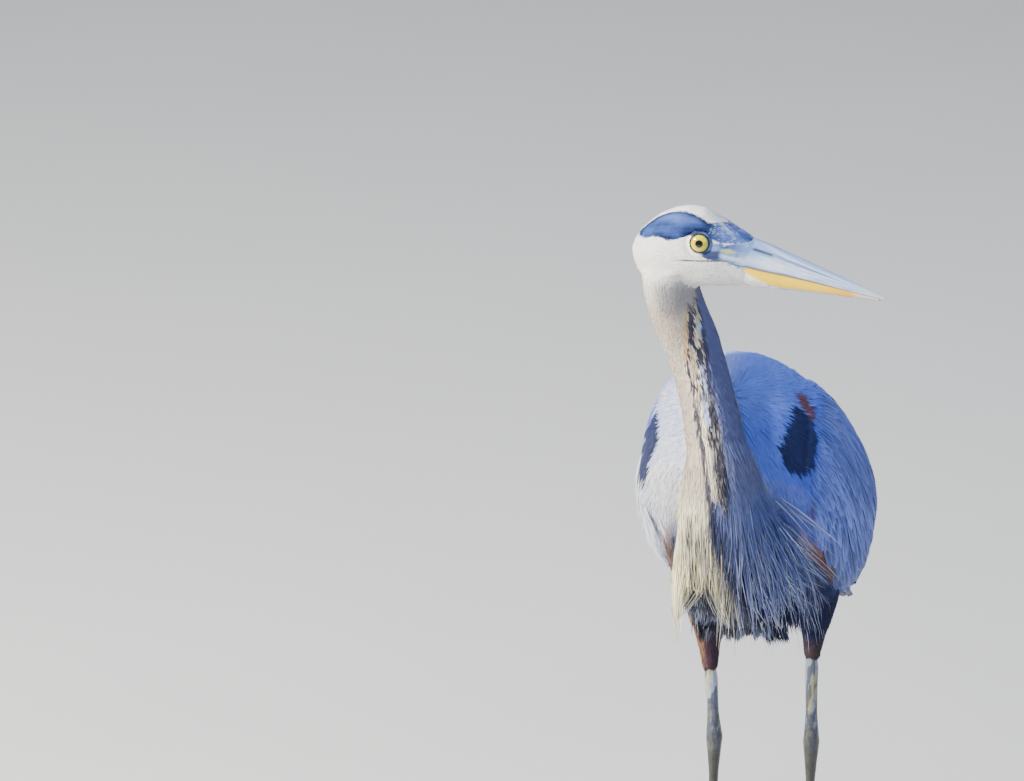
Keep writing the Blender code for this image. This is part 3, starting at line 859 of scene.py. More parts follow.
def shrunk(form, owner):
    """The skin: the form drawn in by the depth of the coat."""
    depth = np.array([COAT_DEPTH[name] for name in FLESH])[owner]
    breast = owner == FLESH.index("breast")
    depth = depth + breast * LOOSE_PLUMES * fade(form.points[:, 2], 0.39, 0.44)
    thighs = np.isin(owner, [FLESH.index(name) for name in THIGH_NODES])
    thinner = THIGH_DEPTH + (1 - THIGH_DEPTH) * ramp(form.points[:, 2], 0.290, 0.335)
    depth = depth * np.where(thighs, thinner, 1.0)
    depth = np.minimum(depth, THIN_DEPTH * form.thickness(form.points, form.vertex_normals, THIN))
    depth = neighbour_mean(depth, form.faces, 4)
    points = form.points - form.vertex_normals * depth[:, None]
    return Surface(points, form.faces, owner[form.faces[:, 0]])


def owners_of(points, tree, owners):
    """The node of the solid nearest to each point."""
    found = np.empty(len(points), int)
    for k, point in enumerate(points.tolist()):
        found[k] = owners[tree.find_nearest(point)[2]]
    return found


# ---------------------------------------------------------------- unwraps of the skin's own shape

def scaled(value, low, high):
    return 0.01 + 0.98 * np.clip((value - low) / (high - low), 0.0, 1.0)


def unwrap_head(points):
    along, out, height = head_place(points)
    angle = np.degrees(np.arctan2(out, height - 0.757))
    return scaled(angle, -180, 180), scaled(along, -0.04, 0.135)


def unwrap_neck(points):
    key, angle, _ = Neck.place(points)
    return scaled(angle, -180, 180), scaled(key + 0.05 * np.sin(points[:, 2] * 900), -0.1, 8.1)


def unwrap_body(points):
    along, angle = body_place(points)
    return scaled(angle, -180, 180), scaled(along, -0.10, 0.52)


def unwrap_leg(points):
    side = points[:, 0] > 0
    middle = np.where(side, 0.052, -0.054)
    angle = np.degrees(np.arctan2(points[:, 0] - middle, -points[:, 1] - 0.004))
    return (scaled(angle, -180, 180) + side) / 2, scaled(points[:, 2], 0.0, 0.42)


# ---------------------------------------------------------------- vanes

# Share of the way along a vane, and its width there as a share of the full width
ROUND_VANE = ((0.0, 0.30), (0.25, 0.85), (0.55, 1.00), (0.80, 0.85), (0.93, 0.55), (1.0, 0.12))
POINTED_VANE = ((0.0, 0.35), (0.30, 0.95), (0.50, 1.00), (0.75, 0.66), (1.0, 0.05))
HAIR_VANE = ((0.0, 0.70), (0.30, 1.00), (0.70, 0.70), (1.0, 0.08))
QUILL_VANE = ((0.0, 0.30), (0.15, 0.85), (0.60, 1.00), (0.88, 0.80), (0.96, 0.50), (1.0, 0.10))
BAKE_PATCH = 0.0015                               # half a vane's patch on the baked image


class Vanes:
    """Many vanes laid over a surface, gathered into joined meshes."""

    def __init__(self, surface, seed):
        self.surface = surface
        self.chance = np.random.default_rng(seed)
        self.batches = []

    def roots(self, chosen, density):
        """Random places on the chosen faces, density of them to a square metre."""
        weight = self.surface.areas * chosen * density
        count = int(weight.sum())
        reach = np.cumsum(weight)
        marks = (np.arange(count) + self.chance.random(count)) * reach[-1] / count
        index = np.minimum(np.searchsorted(reach, marks), len(reach) - 1)
        corners = self.surface.points[self.surface.faces[index]]
        across, along = self.chance.random((2, count, 1))
        low = corners[:, 0] * (1 - across) + corners[:, 1] * across
        high = corners[:, 3] * (1 - across) + corners[:, 2] * across
        return low * (1 - along) + high * along

    def path(self, roots, way, length, stations, lift, turn, bend, hang, fall):
        """Each vane's middle line, the normals under it and its direction at each station."""
        here, normal = self.surface.nearest(roots)
        place = here
        step = (length / (stations - 1))[:, None]
        line, normals, ways = [], [], []
        for station in range(stations):
            share = station / (stations - 1)
            course = way(place, normal)
            if station:
                kept = 0.85 * hang
                course = unit(course * (1 - kept) + ways[-1] * kept)
            sideways = unit(np.cross(normal, course))
            angle = ((turn + bend * share) * (1 - 0.75 * hang * (station > 0)))[:, None]
            course = course * np.cos(angle) + sideways * np.sin(angle)
            course = course + fall * hang * share * DOWN
            flat = course - normal * dot(course, normal)[:, None]
            course = unit(flat * (1 - hang) + course * hang)
            line.append(here)
            normals.append(normal)
            ways.append(course)
            ahead = here + course * step
            place, normal = self.surface.nearest(ahead)
            height = dot(ahead - place, normal)
            target = lift * ((station + 1) / (stations - 1)) ** 0.6
            push = target + np.maximum(height - target, 0.0) * hang - height
            if hang > 0.5:
                push = np.clip(push, -2 * MM, 3 * MM)
            here = ahead + normal * push[:, None]
        return np.stack(line, 1), np.stack(normals, 1), np.stack(ways, 1)

    def leaders(self, roots, members=9):
        """For each root, the nearest of a few roots that its lock gathers round."""
        chosen = self.chance.choice(len(roots), max(len(roots) // members, 1), replace=False)
        gap = np.linalg.norm(roots[:, None, :] - roots[None, chosen, :], axis=2)
        return chosen[np.argmin(gap, axis=1)]

    def grow(self, chosen, density, *kind, **settings):
        """Lay vanes from random roots on the chosen faces."""
        self.lay(self.roots(chosen, density), *kind, **settings)

    def lay(self, roots, way, tint, size, unwrap=unwrap_body, shape=POINTED_VANE, stations=5, columns=3,
            camber=0.18, wave=0.10, curl=0.0, hang=0.0, fall=0.4, vary=0.18, locks=0.0, **looks):
        """Lay one vane from each root, all of one kind. size is its length, width and lift, in mm.

        stations and columns are the vane's points along and across. camber cups it. wave and curl turn
        and bend it, and vary changes its length, by chance. hang is 0 for a vane that follows the
        surface and 1 for one that hangs free, with fall as its pull downwards. locks says how far the
        tips gather to the leaders' tips. looks go to shaded().
        """
        chance, count = self.chance, len(roots)
        length, width, lift = (value * MM for value in size)
        length = length * chance.uniform(1 - vary, 1 + vary, count)
        width = width * chance.uniform(0.85, 1.15, count)
        lift = lift * chance.uniform(0.70, 1.00, count)
        turn = chance.normal(0.0, wave, count)
        bend = chance.normal(0.0, wave + curl, count)
        line, normals, ways = self.path(roots, way, length, stations, lift, turn, bend, hang, fall)
        share = np.linspace(0.0, 1.0, stations)
        across = np.linspace(-1.0, 1.0, columns)
        if locks:
            leader = line[self.leaders(roots)]
            line = line + (leader - line) * (locks * share**1.6)[:, None]
        half = np.interp(share, *np.array(shape).T) * width[:, None] / 2
        roll = chance.normal(0.0, 0.04 + wave, count)[:, None, None]
        points = blades(line, normals, ways, half, roll, across, camber)
        colour = self.shaded(roots, line[:, stations // 2], tint, share, across, **looks)
        u, v = (values[:, None, None] for values in unwrap(roots))
        steps = share[:, None]
        bake = paired(u + across * BAKE_PATCH, v + (steps * 2 - 1) * BAKE_PATCH)
        vane = paired((across + 1) / 2, steps * (length / width)[:, None, None])
        self.batches.append((points, colour, bake, vane))

    def shaded(self, roots, places, tint, share, across, shade=0.10, dark_root=0.35, dark_middle=0.0,
               pale_edge=0.0, pale_tip=0.0, tip_colour="white", root_tint=None):
        """Each vane's tint, darker at its root as painted shade under the vanes over it, darker down
        its middle, paler at its edges and tip.
        """
        base = tint(places, self.chance)
        start = root_tint(roots, self.chance) if root_tint else base
        level = self.chance.normal(1.0, shade, len(roots)).clip(0.5, 1.4)[:, None, None]
        along = ramp(share, 0.05, 0.60)[:, None]
        shaft = (start[:, None] * (1 - along) + base[:, None] * along) * level
        # Painted shade: each vane darker towards its root, where the vanes over it lie
        light = (1 - dark_root * fade(share, 0.0, 0.55))[:, None]
        middle = (1 - np.abs(across)) ** 1.5 * ramp(share, 0.1, 0.4)[:, None]
        light = light * (1 - dark_middle * middle * fade(share, 0.7, 0.95)[:, None])
        colour = shaft[:, :, None] * light[..., None]
        edge = np.abs(across)[:, None] ** 2 * pale_edge
        tip = pale_tip * ramp(share, 0.55, 1.0)[:, None, None]
        # Dark and rusty vanes have little or nothing of the pale edge and tip
        bright = 0.2 + 0.8 * ramp(base.max(axis=1), 0.02, 0.30)
        bright = bright * (base[:, 0] < 1.6 * base[:, 2])
        pale = np.clip(edge + tip, 0.0, 1.0) * bright[:, None, None, None]
        return colour * (1 - pale) + linear(tip_colour) * pale

    def pieces(self, name, material, slot, *nodes):
        """Join all that was laid into one mesh."""
        faces = []
        start = 0
        for points, *_ in self.batches:
            count, stations, columns, _ = points.shape
            size = stations * columns
            offsets = start + np.arange(count)[:, None, None] * size
            faces.append((grid_faces(stations, columns) + offsets).reshape(-1, 4))
            start += count * size
        points, colours, bakes, vanes = (
            np.concatenate([part.reshape(-1, part.shape[-1]) for part in parts])
            for parts in zip(*self.batches)
        )
        layers = (("OFBake", bakes), ("vane", vanes))
        colours = np.clip(colours, 0.0, 1.0)
        piece = piece_from(name, points, np.concatenate(faces), colours, material, layers)
        publish(piece, slot, *nodes)


def blades(line, normals, ways, half, roll, across, camber):
    """The points of vanes along their lines: half wide at each station, cupped and rolled a little."""
    sideways = unit(np.cross(normals, ways))
    over = unit(np.cross(ways, sideways))
    sideways = unit(sideways + over * roll)
    half, across = half[:, :, None, None], across[:, None]
    spread = sideways[:, :, None] * (across * half)
    sag = over[:, :, None] * (camber * half * across**2)
    return line[:, :, None] + spread - sag


def paired(first, second):
    return np.stack(np.broadcast_arrays(first, second), axis=-1)


# ---------------------------------------------------------------- materials

def fill(tree, node, sockets):
    """Give each named socket of a node its number, or join it to another node's output."""
    for name, value in sockets.items():
        if isinstance(value, bpy.types.NodeSocket):
            tree.links.new(value, node.inputs[name])
        else:
            node.inputs[name].default_value = value


def add_node(tree, kind, output, sockets, **settings):
    """Add a shader node and return the named one of its outputs."""
    node = tree.nodes.new("ShaderNode" + kind)
    for name, value in settings.items():
        setattr(node, name, value)
    fill(tree, node, sockets)
    return node.outputs[output]


def procedural(name, roughness, grain, grain_depth, bump, bump_size, barbs=0.0, coat=0.0, sheen=0.0):
    """A finish that takes its markings from the tint, with fine grain in colour and relief."""
    made = bpy.data.materials.new(name)
    made.use_nodes = True
    tree = made.node_tree
    tint = add_node(tree, "Attribute", "Color", {}, attribute_name="tint")
    where = add_node(tree, "TexCoord", "Object", {})
    noise = add_node(tree, "TexNoise", "Fac", {"Vector": where, "Scale": 1 / grain, "Detail": 3})
    level = add_node(tree, "MapRange", "Result", {
        "Value": noise, "From Min": 0.3, "From Max": 0.7,
        "To Min": 1 - grain_depth, "To Max": 1 + grain_depth,
    })
    colour = add_node(tree, "VectorMath", "Vector", {0: tint, "Scale": level}, operation="SCALE")
    if barbs:
        relief = barb_relief(tree, barbs)
    else:
        relief = add_node(tree, "TexVoronoi", "Distance", {"Vector": where, "Scale": 1 / bump_size})
    lift = {"Strength": bump, "Distance": bump_size * 0.25, "Height": relief}
    fill(tree, tree.nodes["Principled BSDF"], {
        "Base Color": colour,
        "Normal": add_node(tree, "Bump", "Normal", lift),
        "Roughness": roughness,
        "Coat Weight": coat,
        "Sheen Weight": sheen,
        "Specular IOR Level": 0.22 if barbs else 0.40,
    })
    return made


def math_node(tree, operation, first, second=0.0):
    return add_node(tree, "Math", "Value", {0: first, 1: second}, operation=operation)


def barb_relief(tree, barbs):
    """Slanting barbs on both sides of a vane's shaft."""
    layer = add_node(tree, "UVMap", "UV", {}, uv_map="vane")
    across = add_node(tree, "SeparateXYZ", "X", {"Vector": layer})
    along = add_node(tree, "SeparateXYZ", "Y", {"Vector": layer})
    aside = math_node(tree, "ABSOLUTE", math_node(tree, "SUBTRACT", across, 0.5))
    slant = math_node(tree, "SUBTRACT", along, aside)
    return math_node(tree, "SINE", math_node(tree, "MULTIPLY", slant, barbs * 2 * pi))


# ---------------------------------------------------------------- bare face, lids and eyes

LOOK_AXIS = unit(np.array((0.14, 1.0, 0.14)))     # along the head, outwards, up
LID_ANGLE = radians(42.5)
LID_SKIN = 0.7 * MM
LID_EDGE = 0.55 * MM                              # the rolled edge's radius
LID_STEPS = 72
LID_ROUND = 10
EYE_STEPS = 96
EYE_SINK = 0.1 * MM
CORNEA = 0.35 * MM                                # how far it stands out
FACE_ALONG = (0.020, 0.091)
FACE_HEIGHT = (0.7385, 0.7880)
FACE_SINK = 0.30 * MM
FACE_OUTSIDE = 0.060                              # well beside the head
FACE_ROWS = 120
FACE_COLUMNS = 84
FOLD = 0.10 * MM
FOLD_STEP = 1.7 * MM
GAPE_CREASE = 0.5 * MM
UNDER_FEATHERS = 2.2 * MM
LIDS_OPENING = 2.5 * MM                           # depth of the skin where the eye looks out

# Along the head: upper and lower edge of the bare skin between eye and bill
BARE_EDGES = (
    (0.024, 0.7790, 0.7700), (0.030, 0.7812, 0.7640), (0.038, 0.7815, 0.7582), (0.045, 0.7775, 0.7552),
    (0.054, 0.7722, 0.7535), (0.062, 0.7702, 0.7530), (0.070, 0.7700, 0.7490), (0.080, 0.7712, 0.7440),
    (0.092, 0.7730, 0.7400),
)


def bare_share(along, height):
    """1 on the bare skin of the face, 0 where feathers grow."""
    upper, lower = curve(BARE_EDGES, along).T
    band = np.minimum(upper - height, height - lower)
    front = ramp(along, 0.035, 0.042)
    around = np.hypot(along - EYE_CENTRE[0] - 0.0025, height - EYE_CENTRE[2] - 0.0015)
    ring = fade(around, 0.0098, 0.0108)
    return np.maximum(ramp(band, -0.3 * MM, 0.5 * MM) * front, ring)


def on_side(axis, side):
    """An axis given as (along, outwards, up) on one side of the head."""
    return axis[0] * HEAD_ALONG - side * axis[1] * HEAD_RIGHT - axis[2] * DOWN


def eye_centre(side):
    along, out, height = EYE_CENTRE
    return head_points(np.array(along), np.array(-side * out), np.array(height))


def ring_ways(axis, turns):
    """The ways out from an axis, at turns round it."""
    first = unit(np.cross(axis, DOWN))
    second = np.cross(axis, first)
    return np.outer(np.cos(turns), first) + np.outer(np.sin(turns), second)


def tint_face(along, height):
    """Blue-grey lore and eye ring, with the greenish spot and the dark line of the gape."""
    paint = Paint("lore", along)
    around = np.hypot(along - EYE_CENTRE[0] - 0.0020, height - EYE_CENTRE[2] - 0.0015)
    cloud = np.sin(along * 620 + height * 900) * np.sin(height * 1300 - along * 350)
    paint("orbit", 0.35 + 0.35 * cloud)
    slant = height + 0.28 * (along - 0.060)
    pale = inside(slant, 0.7565, 0.7605, 0.0018)
    paint("horn_pale", 0.65 * pale * ramp(along, 0.046, 0.060))
    # Dark above, round the eye and in the corner under it
    paint("slate", 0.7 * ramp(slant, 0.7655, 0.7690) * ramp(along, 0.048, 0.058))
    paint("slate", 0.8 * fade(around, 0.0100, 0.0125) * ramp(height, 0.770, 0.776))
    paint("orbit", 0.6 * fade(around, 0.010, 0.014))
    under = inside(along, 0.034, 0.0575, 0.003) * inside(height, 0.7545, 0.7640, 0.0016)
    paint("lore_dark", 0.95 * under)
    # The horn's colours at the foot of the bill, then the greenish spot and a dark dash over it
    base = ramp(along, 0.068, 0.084)
    paint("horn_blue", 0.8 * base * ramp(height, 0.755, 0.762))
    paint("horn_pale", 0.6 * base * fade(height, 0.755, 0.762))
    tilted = height + 0.15 * (along - 0.0655)
    spot = np.hypot((along - 0.0655) / 0.0078, (tilted - 0.7632) / 0.0026)
    paint("lore_spot", 0.85 * fade(spot, 0.35, 1.2))
    dash = np.hypot((along - 0.0615) / 0.0050, (height - 0.7672) / 0.0016)
    paint("lore_dark", 0.55 * fade(dash, 0.4, 1.3))
    return paint("gape", 0.85 * fade(from_gape(along, height), 0.25 * MM, 0.75 * MM))


def face_patch(form, side):
    """The bare skin of one side of the face, drawn over the eyeball with an opening for it."""
    along = np.linspace(*FACE_ALONG, FACE_ROWS)
    height = np.linspace(*FACE_HEIGHT, FACE_COLUMNS)
    along, height = (values.ravel() for values in np.meshgrid(along, height, indexing="ij"))
    starts = head_points(along, np.full(len(along), -side * FACE_OUTSIDE), height)
    found = form.hit(starts, np.tile(side * HEAD_RIGHT, (len(along), 1)))
    out = np.abs((found - HEAD_START) @ HEAD_RIGHT)
    met = ~np.isnan(out)
    crease = GAPE_CREASE * fade(from_gape(along, height), 0.2 * MM, 1.0 * MM)
    folds = FOLD * np.sin((height + along * 0.35) * 2 * pi / FOLD_STEP)
    out = out - FACE_SINK - crease + folds
    out = over_eyeball(along, np.nan_to_num(out), height)
    away = np.hypot(along - EYE_CENTRE[0], height - EYE_CENTRE[2])
    bare = bare_share(along, height)
    out = out - UNDER_FEATHERS * (1 - bare) * ramp(away, 0.0118, 0.0150)
    points = head_points(along, -side * out, height)
    colour = tint_head(points, np.random.default_rng(31)) * (1 - bare[:, None])
    colour = colour + tint_face(along, height) * bare[:, None]
    faces = grid_faces(FACE_ROWS, FACE_COLUMNS)
    faces = faces[met[faces].all(axis=1)]
    points[~met] = HEAD_START + (0.0, 0.0, EYE_CENTRE[2])
    return points, faces, colour


def over_eyeball(along, out, height):
    """Raise the skin over the eyeball, smooth it there, and sink it inside the lids' opening."""
    ahead, centre_out, above = along - EYE_CENTRE[0], EYE_CENTRE[1], height - EYE_CENTRE[2]
    away = np.hypot(ahead, above)
    ball = np.sqrt(np.maximum((EYE_RADIUS + LID_SKIN) ** 2 - away**2, 0.0))
    out = np.where(away < EYE_RADIUS, np.maximum(out, centre_out + ball), out)
    grid = out.reshape(FACE_ROWS, FACE_COLUMNS)
    for _ in range(5):
        inner = grid[1:-1, 1:-1]
        around = grid[:-2, 1:-1] + grid[2:, 1:-1] + grid[1:-1, :-2] + grid[1:-1, 2:]
        grid[1:-1, 1:-1] = 0.5 * inner + 0.125 * around
    near = fade(away, EYE_RADIUS + 1 * MM, EYE_RADIUS + 4 * MM)
    out = out * (1 - near) + grid.ravel() * near
    place = np.stack([ahead, np.maximum(ball, 0.1 * MM), above], axis=1)
    turn = np.arccos(np.clip(unit(place) @ LOOK_AXIS, -1.0, 1.0))
    opening = fade(turn, LID_ANGLE, LID_ANGLE + radians(3))
    return out - LIDS_OPENING * opening


def lid(side):
    """The rolled edge of the eyelids, as a ring on the eyeball."""
    axis = on_side(LOOK_AXIS, side)
    turns = np.linspace(0, 2 * pi, LID_STEPS, endpoint=False)
    tubes = np.linspace(0, 2 * pi, LID_ROUND, endpoint=False)
    outward = ring_ways(axis, turns)
    reach = EYE_RADIUS + 0.35 * MM
    middle = eye_centre(side) + axis * (reach * cos(LID_ANGLE)) + outward * (reach * sin(LID_ANGLE))
    size = LID_EDGE * (1 + 0.15 * np.sin(turns * 9 + 1))
    points = (
        middle[:, None]
        + outward[:, None] * (np.cos(tubes)[None, :, None] * size[:, None, None] * 1.5)
        + axis * (np.sin(tubes)[None, :, None] * size[:, None, None])
    )
    here = np.arange(LID_STEPS * LID_ROUND).reshape(LID_STEPS, LID_ROUND)
    there = np.roll(here, -1, axis=0)
    faces = np.stack([here, there, np.roll(there, -1, axis=1), np.roll(here, -1, axis=1)], axis=-1)
    return points.reshape(-1, 3), faces.reshape(-1, 4), plain("gape", points[..., 0].size)


def make_eye(side_name, side, material):
    """An eyeball with its pupil, its iris and a cornea that stands out a little."""
    axis = on_side(LOOK_AXIS, side)
    angles = np.radians(np.concatenate([np.linspace(0.5, 60, 90), np.linspace(64, 110, 10)]))
    turns = np.linspace(0, 2 * pi, EYE_STEPS, endpoint=False)
    reach = EYE_RADIUS - EYE_SINK + CORNEA * fade(angles, radians(15), radians(46))
    forward = axis * (reach * np.cos(angles))[:, None, None]
    outward = ring_ways(axis, turns) * (reach * np.sin(angles))[:, None, None]
    points = (eye_centre(side) + forward + outward).reshape(-1, 3)
    out = np.repeat(EYE_RADIUS * np.sin(angles), len(turns))
    around = np.tile(turns, len(angles))
    rays = ripple(around * 41 + 3 * np.sin(around * 7))
    paint = Paint("iris", points)
    paint("iris_rim", 0.30 * rays * ramp(out, 0.005, 0.009))
    paint("iris_rim", 0.45 * fade(out, 0.0040, 0.0056))
    paint("pupil", ramp(out, IRIS_RADIUS - 0.6 * MM, IRIS_RADIUS))
    paint("pupil", fade(out, PUPIL_RADIUS - 0.2 * MM, PUPIL_RADIUS + 0.2 * MM))
    faces = grid_faces(len(angles), len(turns), closed=True)
    eye = piece_from("eyeball_" + side_name, points, faces, paint.colour, material)
    publish(eye, "eye", "eye_" + side_name)


# ---------------------------------------------------------------- bill

# along, half width, culmen, underside, and the height of the gape
BILL = (
    (0.0640, 0.0120, 0.7745, 0.7262, 0.7500),
    (0.0720, 0.0135, 0.7755, 0.7250, 0.7487),
    (0.0900, 0.0132, 0.7722, 0.7230, 0.7454),
    (0.1200, 0.0108, 0.7620, 0.7225, 0.7405),
    (0.1550, 0.0080, 0.7488, 0.7214, 0.7342),
    (0.1850, 0.0054, 0.7375, 0.7200, 0.7282),
    (0.2060, 0.0032, 0.7290, 0.7192, 0.7238),
    (0.2210, 0.0010, 0.7222, 0.7190, 0.7206),
)
BILL_POWER = 2 / 1.75
BILL_LOWER_END = 0.2150
MOUTH_GAP = 0.12 * MM                             # from the gape to each half of the bill
NOSTRIL = (0.0885, 0.1080)                        # from, to along the head
NOSTRIL_DEPTH = 0.9 * MM
GROOVE_DEPTH = 0.45 * MM
BILL_ROWS = 150
BILL_ARC = 49
BILL_FLOOR = 9


def bill_section(upper):
    """Points of one half of the bill as grids of along, out and height."""
    stop = BILL[-1][0] - 0.2 * MM if upper else BILL_LOWER_END
    along = BILL[0][0] + (stop - BILL[0][0]) * np.linspace(0, 1, BILL_ROWS) ** 0.9
    half, culmen, underside, gape = curve(BILL, along).T[:, :, None]
    edge = gape + MOUTH_GAP if upper else gape - MOUTH_GAP
    half = half if upper else half * (0.965 - 0.03 * ramp(along, 0.09, 0.12)[:, None])
    reach = culmen - edge if upper else underside - edge
    turn = np.linspace(0, pi, BILL_ARC)[None, :]
    cosine = np.cos(turn)
    out = half * np.sign(cosine) * np.abs(cosine) ** BILL_POWER
    rise = np.sin(turn) ** 0.9
    if upper:
        out = out * (1 - bill_groove(along[:, None], rise, half))
    height = edge + reach * rise
    share = np.linspace(-1, 1, BILL_FLOOR)[None, 1:-1]
    floor_out = half * share
    floor_height = edge + reach * 0.10 * (1 - share**2)
    along = np.broadcast_to(along[:, None], (BILL_ROWS, BILL_ARC + BILL_FLOOR - 2))
    rise = np.concatenate([rise + 0 * out, 0 * floor_out], axis=1)
    out = np.concatenate([out, floor_out], axis=1)
    height = np.concatenate([height, floor_height], axis=1)
    return along, out, height, rise


def bill_groove(along, rise, half):
    """How far the side draws in along the nostril's groove, as a share of the half width."""
    middle = 0.70 + 0.06 * ramp(along, 0.10, 0.16)
    groove = hump(rise, middle, 0.085) * inside(along, 0.082, 0.160, 0.012)
    slit = hump(rise, middle, 0.035) * inside(along, *NOSTRIL, 0.0015)
    return (GROOVE_DEPTH * groove + NOSTRIL_DEPTH * slit) / half


def tint_bill_upper(along, rise):
    """Blue-grey with pale streaks that run down it, partly painted highlight, darker along the groove
    as painted shade, and darker at the edge.
    """
    paint = Paint("horn_blue", along)
    paint("horn_pale", 0.7 * inside(rise, 0.06, 0.42, 0.05) * fade(along, 0.10, 0.13))
    paint("lore", 0.55 * fade(along, 0.084, 0.106))
    # Streaks that run forwards and down: the horn's own pale streaks and partly painted highlight
    drift = rise * 9 + along * 22
    streak = ripple(drift * 3.1 + 1.2 * np.sin(along * 60))
    fine = ripple(drift * 9.7 + 2.0)
    ahead = ramp(along, 0.088, 0.110)
    pale = (0.70 * streak + 0.25 * fine) * ahead
    paint("horn_pale", pale * (1 - 0.5 * ramp(rise, 0.80, 0.95)))
    hairline = ripple(drift * 6.3 + 1.6 * np.sin(along * 95))
    paint("horn_dark", 0.26 * ramp(hairline, 0.75, 1.0) * ahead)
    # Painted highlight: a pale patch on the bill's side
    paint("horn_pale", 0.5 * inside(along, 0.095, 0.150, 0.02) * inside(rise, 0.15, 0.55, 0.08))
    # The groove, the ridge, the cutting edge and the nostril in the groove; the dark along the groove
    # and in the nostril is painted shade
    groove = hump(rise, 0.70, 0.06) * inside(along, 0.082, 0.165, 0.012)
    paint("horn_dark", 0.70 * groove)
    paint("horn_dark", 0.45 * ramp(rise, 0.93, 0.99))
    low = fade(rise, 0.05, 0.20) * fade(along, 0.15, 0.19)
    paint("horn_dark", 0.35 * low)
    slit = hump(rise, 0.71, 0.045) * inside(along, *NOSTRIL, 0.0015)
    paint("gape", 0.95 * slit)
    paint("horn_tip", 0.6 * ramp(along, 0.185, 0.212))
    return paint("gape", 0.55 * fade(rise, 0.0, 0.045))


def tint_bill_lower(along, rise):
    """Yellow from a slanting edge at the chin feathers, paler below and towards the tip."""
    paint = Paint("horn_yellow", along)
    paint("horn_orange", 0.85 * ramp(along, 0.145, 0.185))
    paint("horn_orange", 0.25 * fade(rise, 0.08, 0.25))
    paint("horn_pale", 0.85 * ramp(rise, 0.74, 0.86))
    slant = along - 0.055 * rise
    paint("white", 0.95 * fade(slant, 0.062, 0.070))
    paint("horn_tip", 0.9 * ramp(along, 0.184, 0.200))
    return paint("gape", 0.50 * fade(rise, 0.0, 0.05))


def make_bill(material):
    """Both halves of the bill. Returns the lower one's surface, for the feathers under it."""
    for name, upper, tint in (
        ("bill_upper", True, tint_bill_upper),
        ("bill_lower", False, tint_bill_lower),
    ):
        along, out, height, rise = bill_section(upper)
        rows, columns = along.shape
        points = head_points(along.ravel(), out.ravel(), height.ravel())
        faces = grid_faces(rows, columns, closed=True)
        points = np.vstack([points, points[-columns:].mean(axis=0)])
        colour = tint(along.ravel(), rise.ravel())
        colour = np.vstack([colour, colour[-1:]])
        outward = faces if upper else faces[:, ::-1]
        piece = piece_from(name + "_horn", points, outward, colour, material)
        close_tip(piece, (rows - 1) * columns + np.arange(columns))
        publish(piece, "upper_bill" if upper else "lower_bill", name)
    return Surface(points, faces)


def close_tip(piece, rim):
    """Fill the small hole at a bill's point, from its rim to the mesh's last point."""
    form = bmesh.new()
    form.from_mesh(piece.data)
    form.verts.ensure_lookup_table()
    for first, second in zip(rim.tolist(), np.roll(rim, -1).tolist()):
        form.faces.new((form.verts[first], form.verts[second], form.verts[-1])).smooth = True
    bmesh.ops.recalc_face_normals(form, faces=form.faces)
    form.to_mesh(piece.data)
    form.free()


# ---------------------------------------------------------------- legs and claws

def scutes(points, normals):
    """How far the leg's scales stand out: broad ones down the front, small ones elsewhere."""
    across, away, height = points.T
    front = ramp(-normals[:, 1], 0.25, 0.7)
    plates = np.abs(np.sin(height * pi / (3.6 * MM) + 0.6 * np.sin(height * 400)))
    small = np.abs(np.sin(across * 1900) * np.sin(height * 1500) * np.sin(away * 1900 + 1))
    leg = ramp(height, 0.012, 0.020)
    from_ankle = np.hypot(across - np.sign(across) * 0.050, away + 0.013)
    toe = np.abs(np.sin(from_ankle * 1250))
    upright = 0.30 * plates**0.4 * front + 0.16 * small * (1 - front)
    return MM * (upright * leg + 0.26 * toe**0.4 * (1 - leg) * ramp(normals[:, 2], -0.2, 0.4))


def tint_leg(points):
    """Blue-grey shanks with yellowish and dark flecks, the left one darker as painted shade, and dark
    olive-grey below the ankle.
    """
    height = points[:, 2]
    stretched = points * (1, 1, 0.35)
    paint = Paint("shank_pale", points)
    paint("shank_yellow", 0.7 * ramp(wander(stretched, 5 * MM, 41), -0.1, 0.7))
    # Painted shade: the left leg darker all over
    paint("tarsus", 0.40 * (points[:, 0] > 0))
    low = fade(height, 0.195, 0.250)
    flecks = 0.6 * wander(stretched, 2.2 * MM, 43) + 0.6 * wander(stretched, 5 * MM, 44) + 0.7 * low
    paint("shank_dark", 0.75 * ramp(flecks, 0.22, 0.52))
    paint("tarsus", fade(height, 0.150, 0.215))
    return paint("shank_dark", 0.45 * ramp(wander(points, 3 * MM, 47), 0.0, 0.7) * low)


def make_leg(frame, side_name, material):
    names = ["shank_" + side_name, "tarsus_" + side_name]
    names += ["toe_" + toe + "_" + side_name for toe in ("middle", "inner", "outer", "hind")]
    mesh, _ = joined_nodes(frame, names)
    form = melted(mesh, LEG_VOXEL, LEG_ROUNDS)
    points = form.points + form.vertex_normals * scutes(form.points, form.vertex_normals)[:, None]
    top = ramp(points[:, 2], points[:, 2].max() - 0.018, points[:, 2].max() - 0.004)
    points -= form.vertex_normals * (1.3 * MM * top)[:, None]
    points[:, 2] = np.maximum(points[:, 2], 0.0)
    leg = piece_from("leg_skin_" + side_name, points, form.faces, tint_leg(points), material)
    publish(leg, "leg_skin", *names)


def make_claws(frame, material):
    """All the claws as one mesh, rounder than their solids."""
    names = [name for name in frame["nodes"] if name.startswith("claw_")]
    mesh, _ = joined_nodes(frame, names)
    points, faces = reshaped(mesh, ("SUBSURF", {"levels": 2}))
    shade = 1 + 0.5 * wander(points, 3 * MM, 53)
    claws = piece_from("claws", points, faces, plain("claw", len(points)) * shade[:, None], material)
    publish(claws, "claw", *names)


# ---------------------------------------------------------------- coat

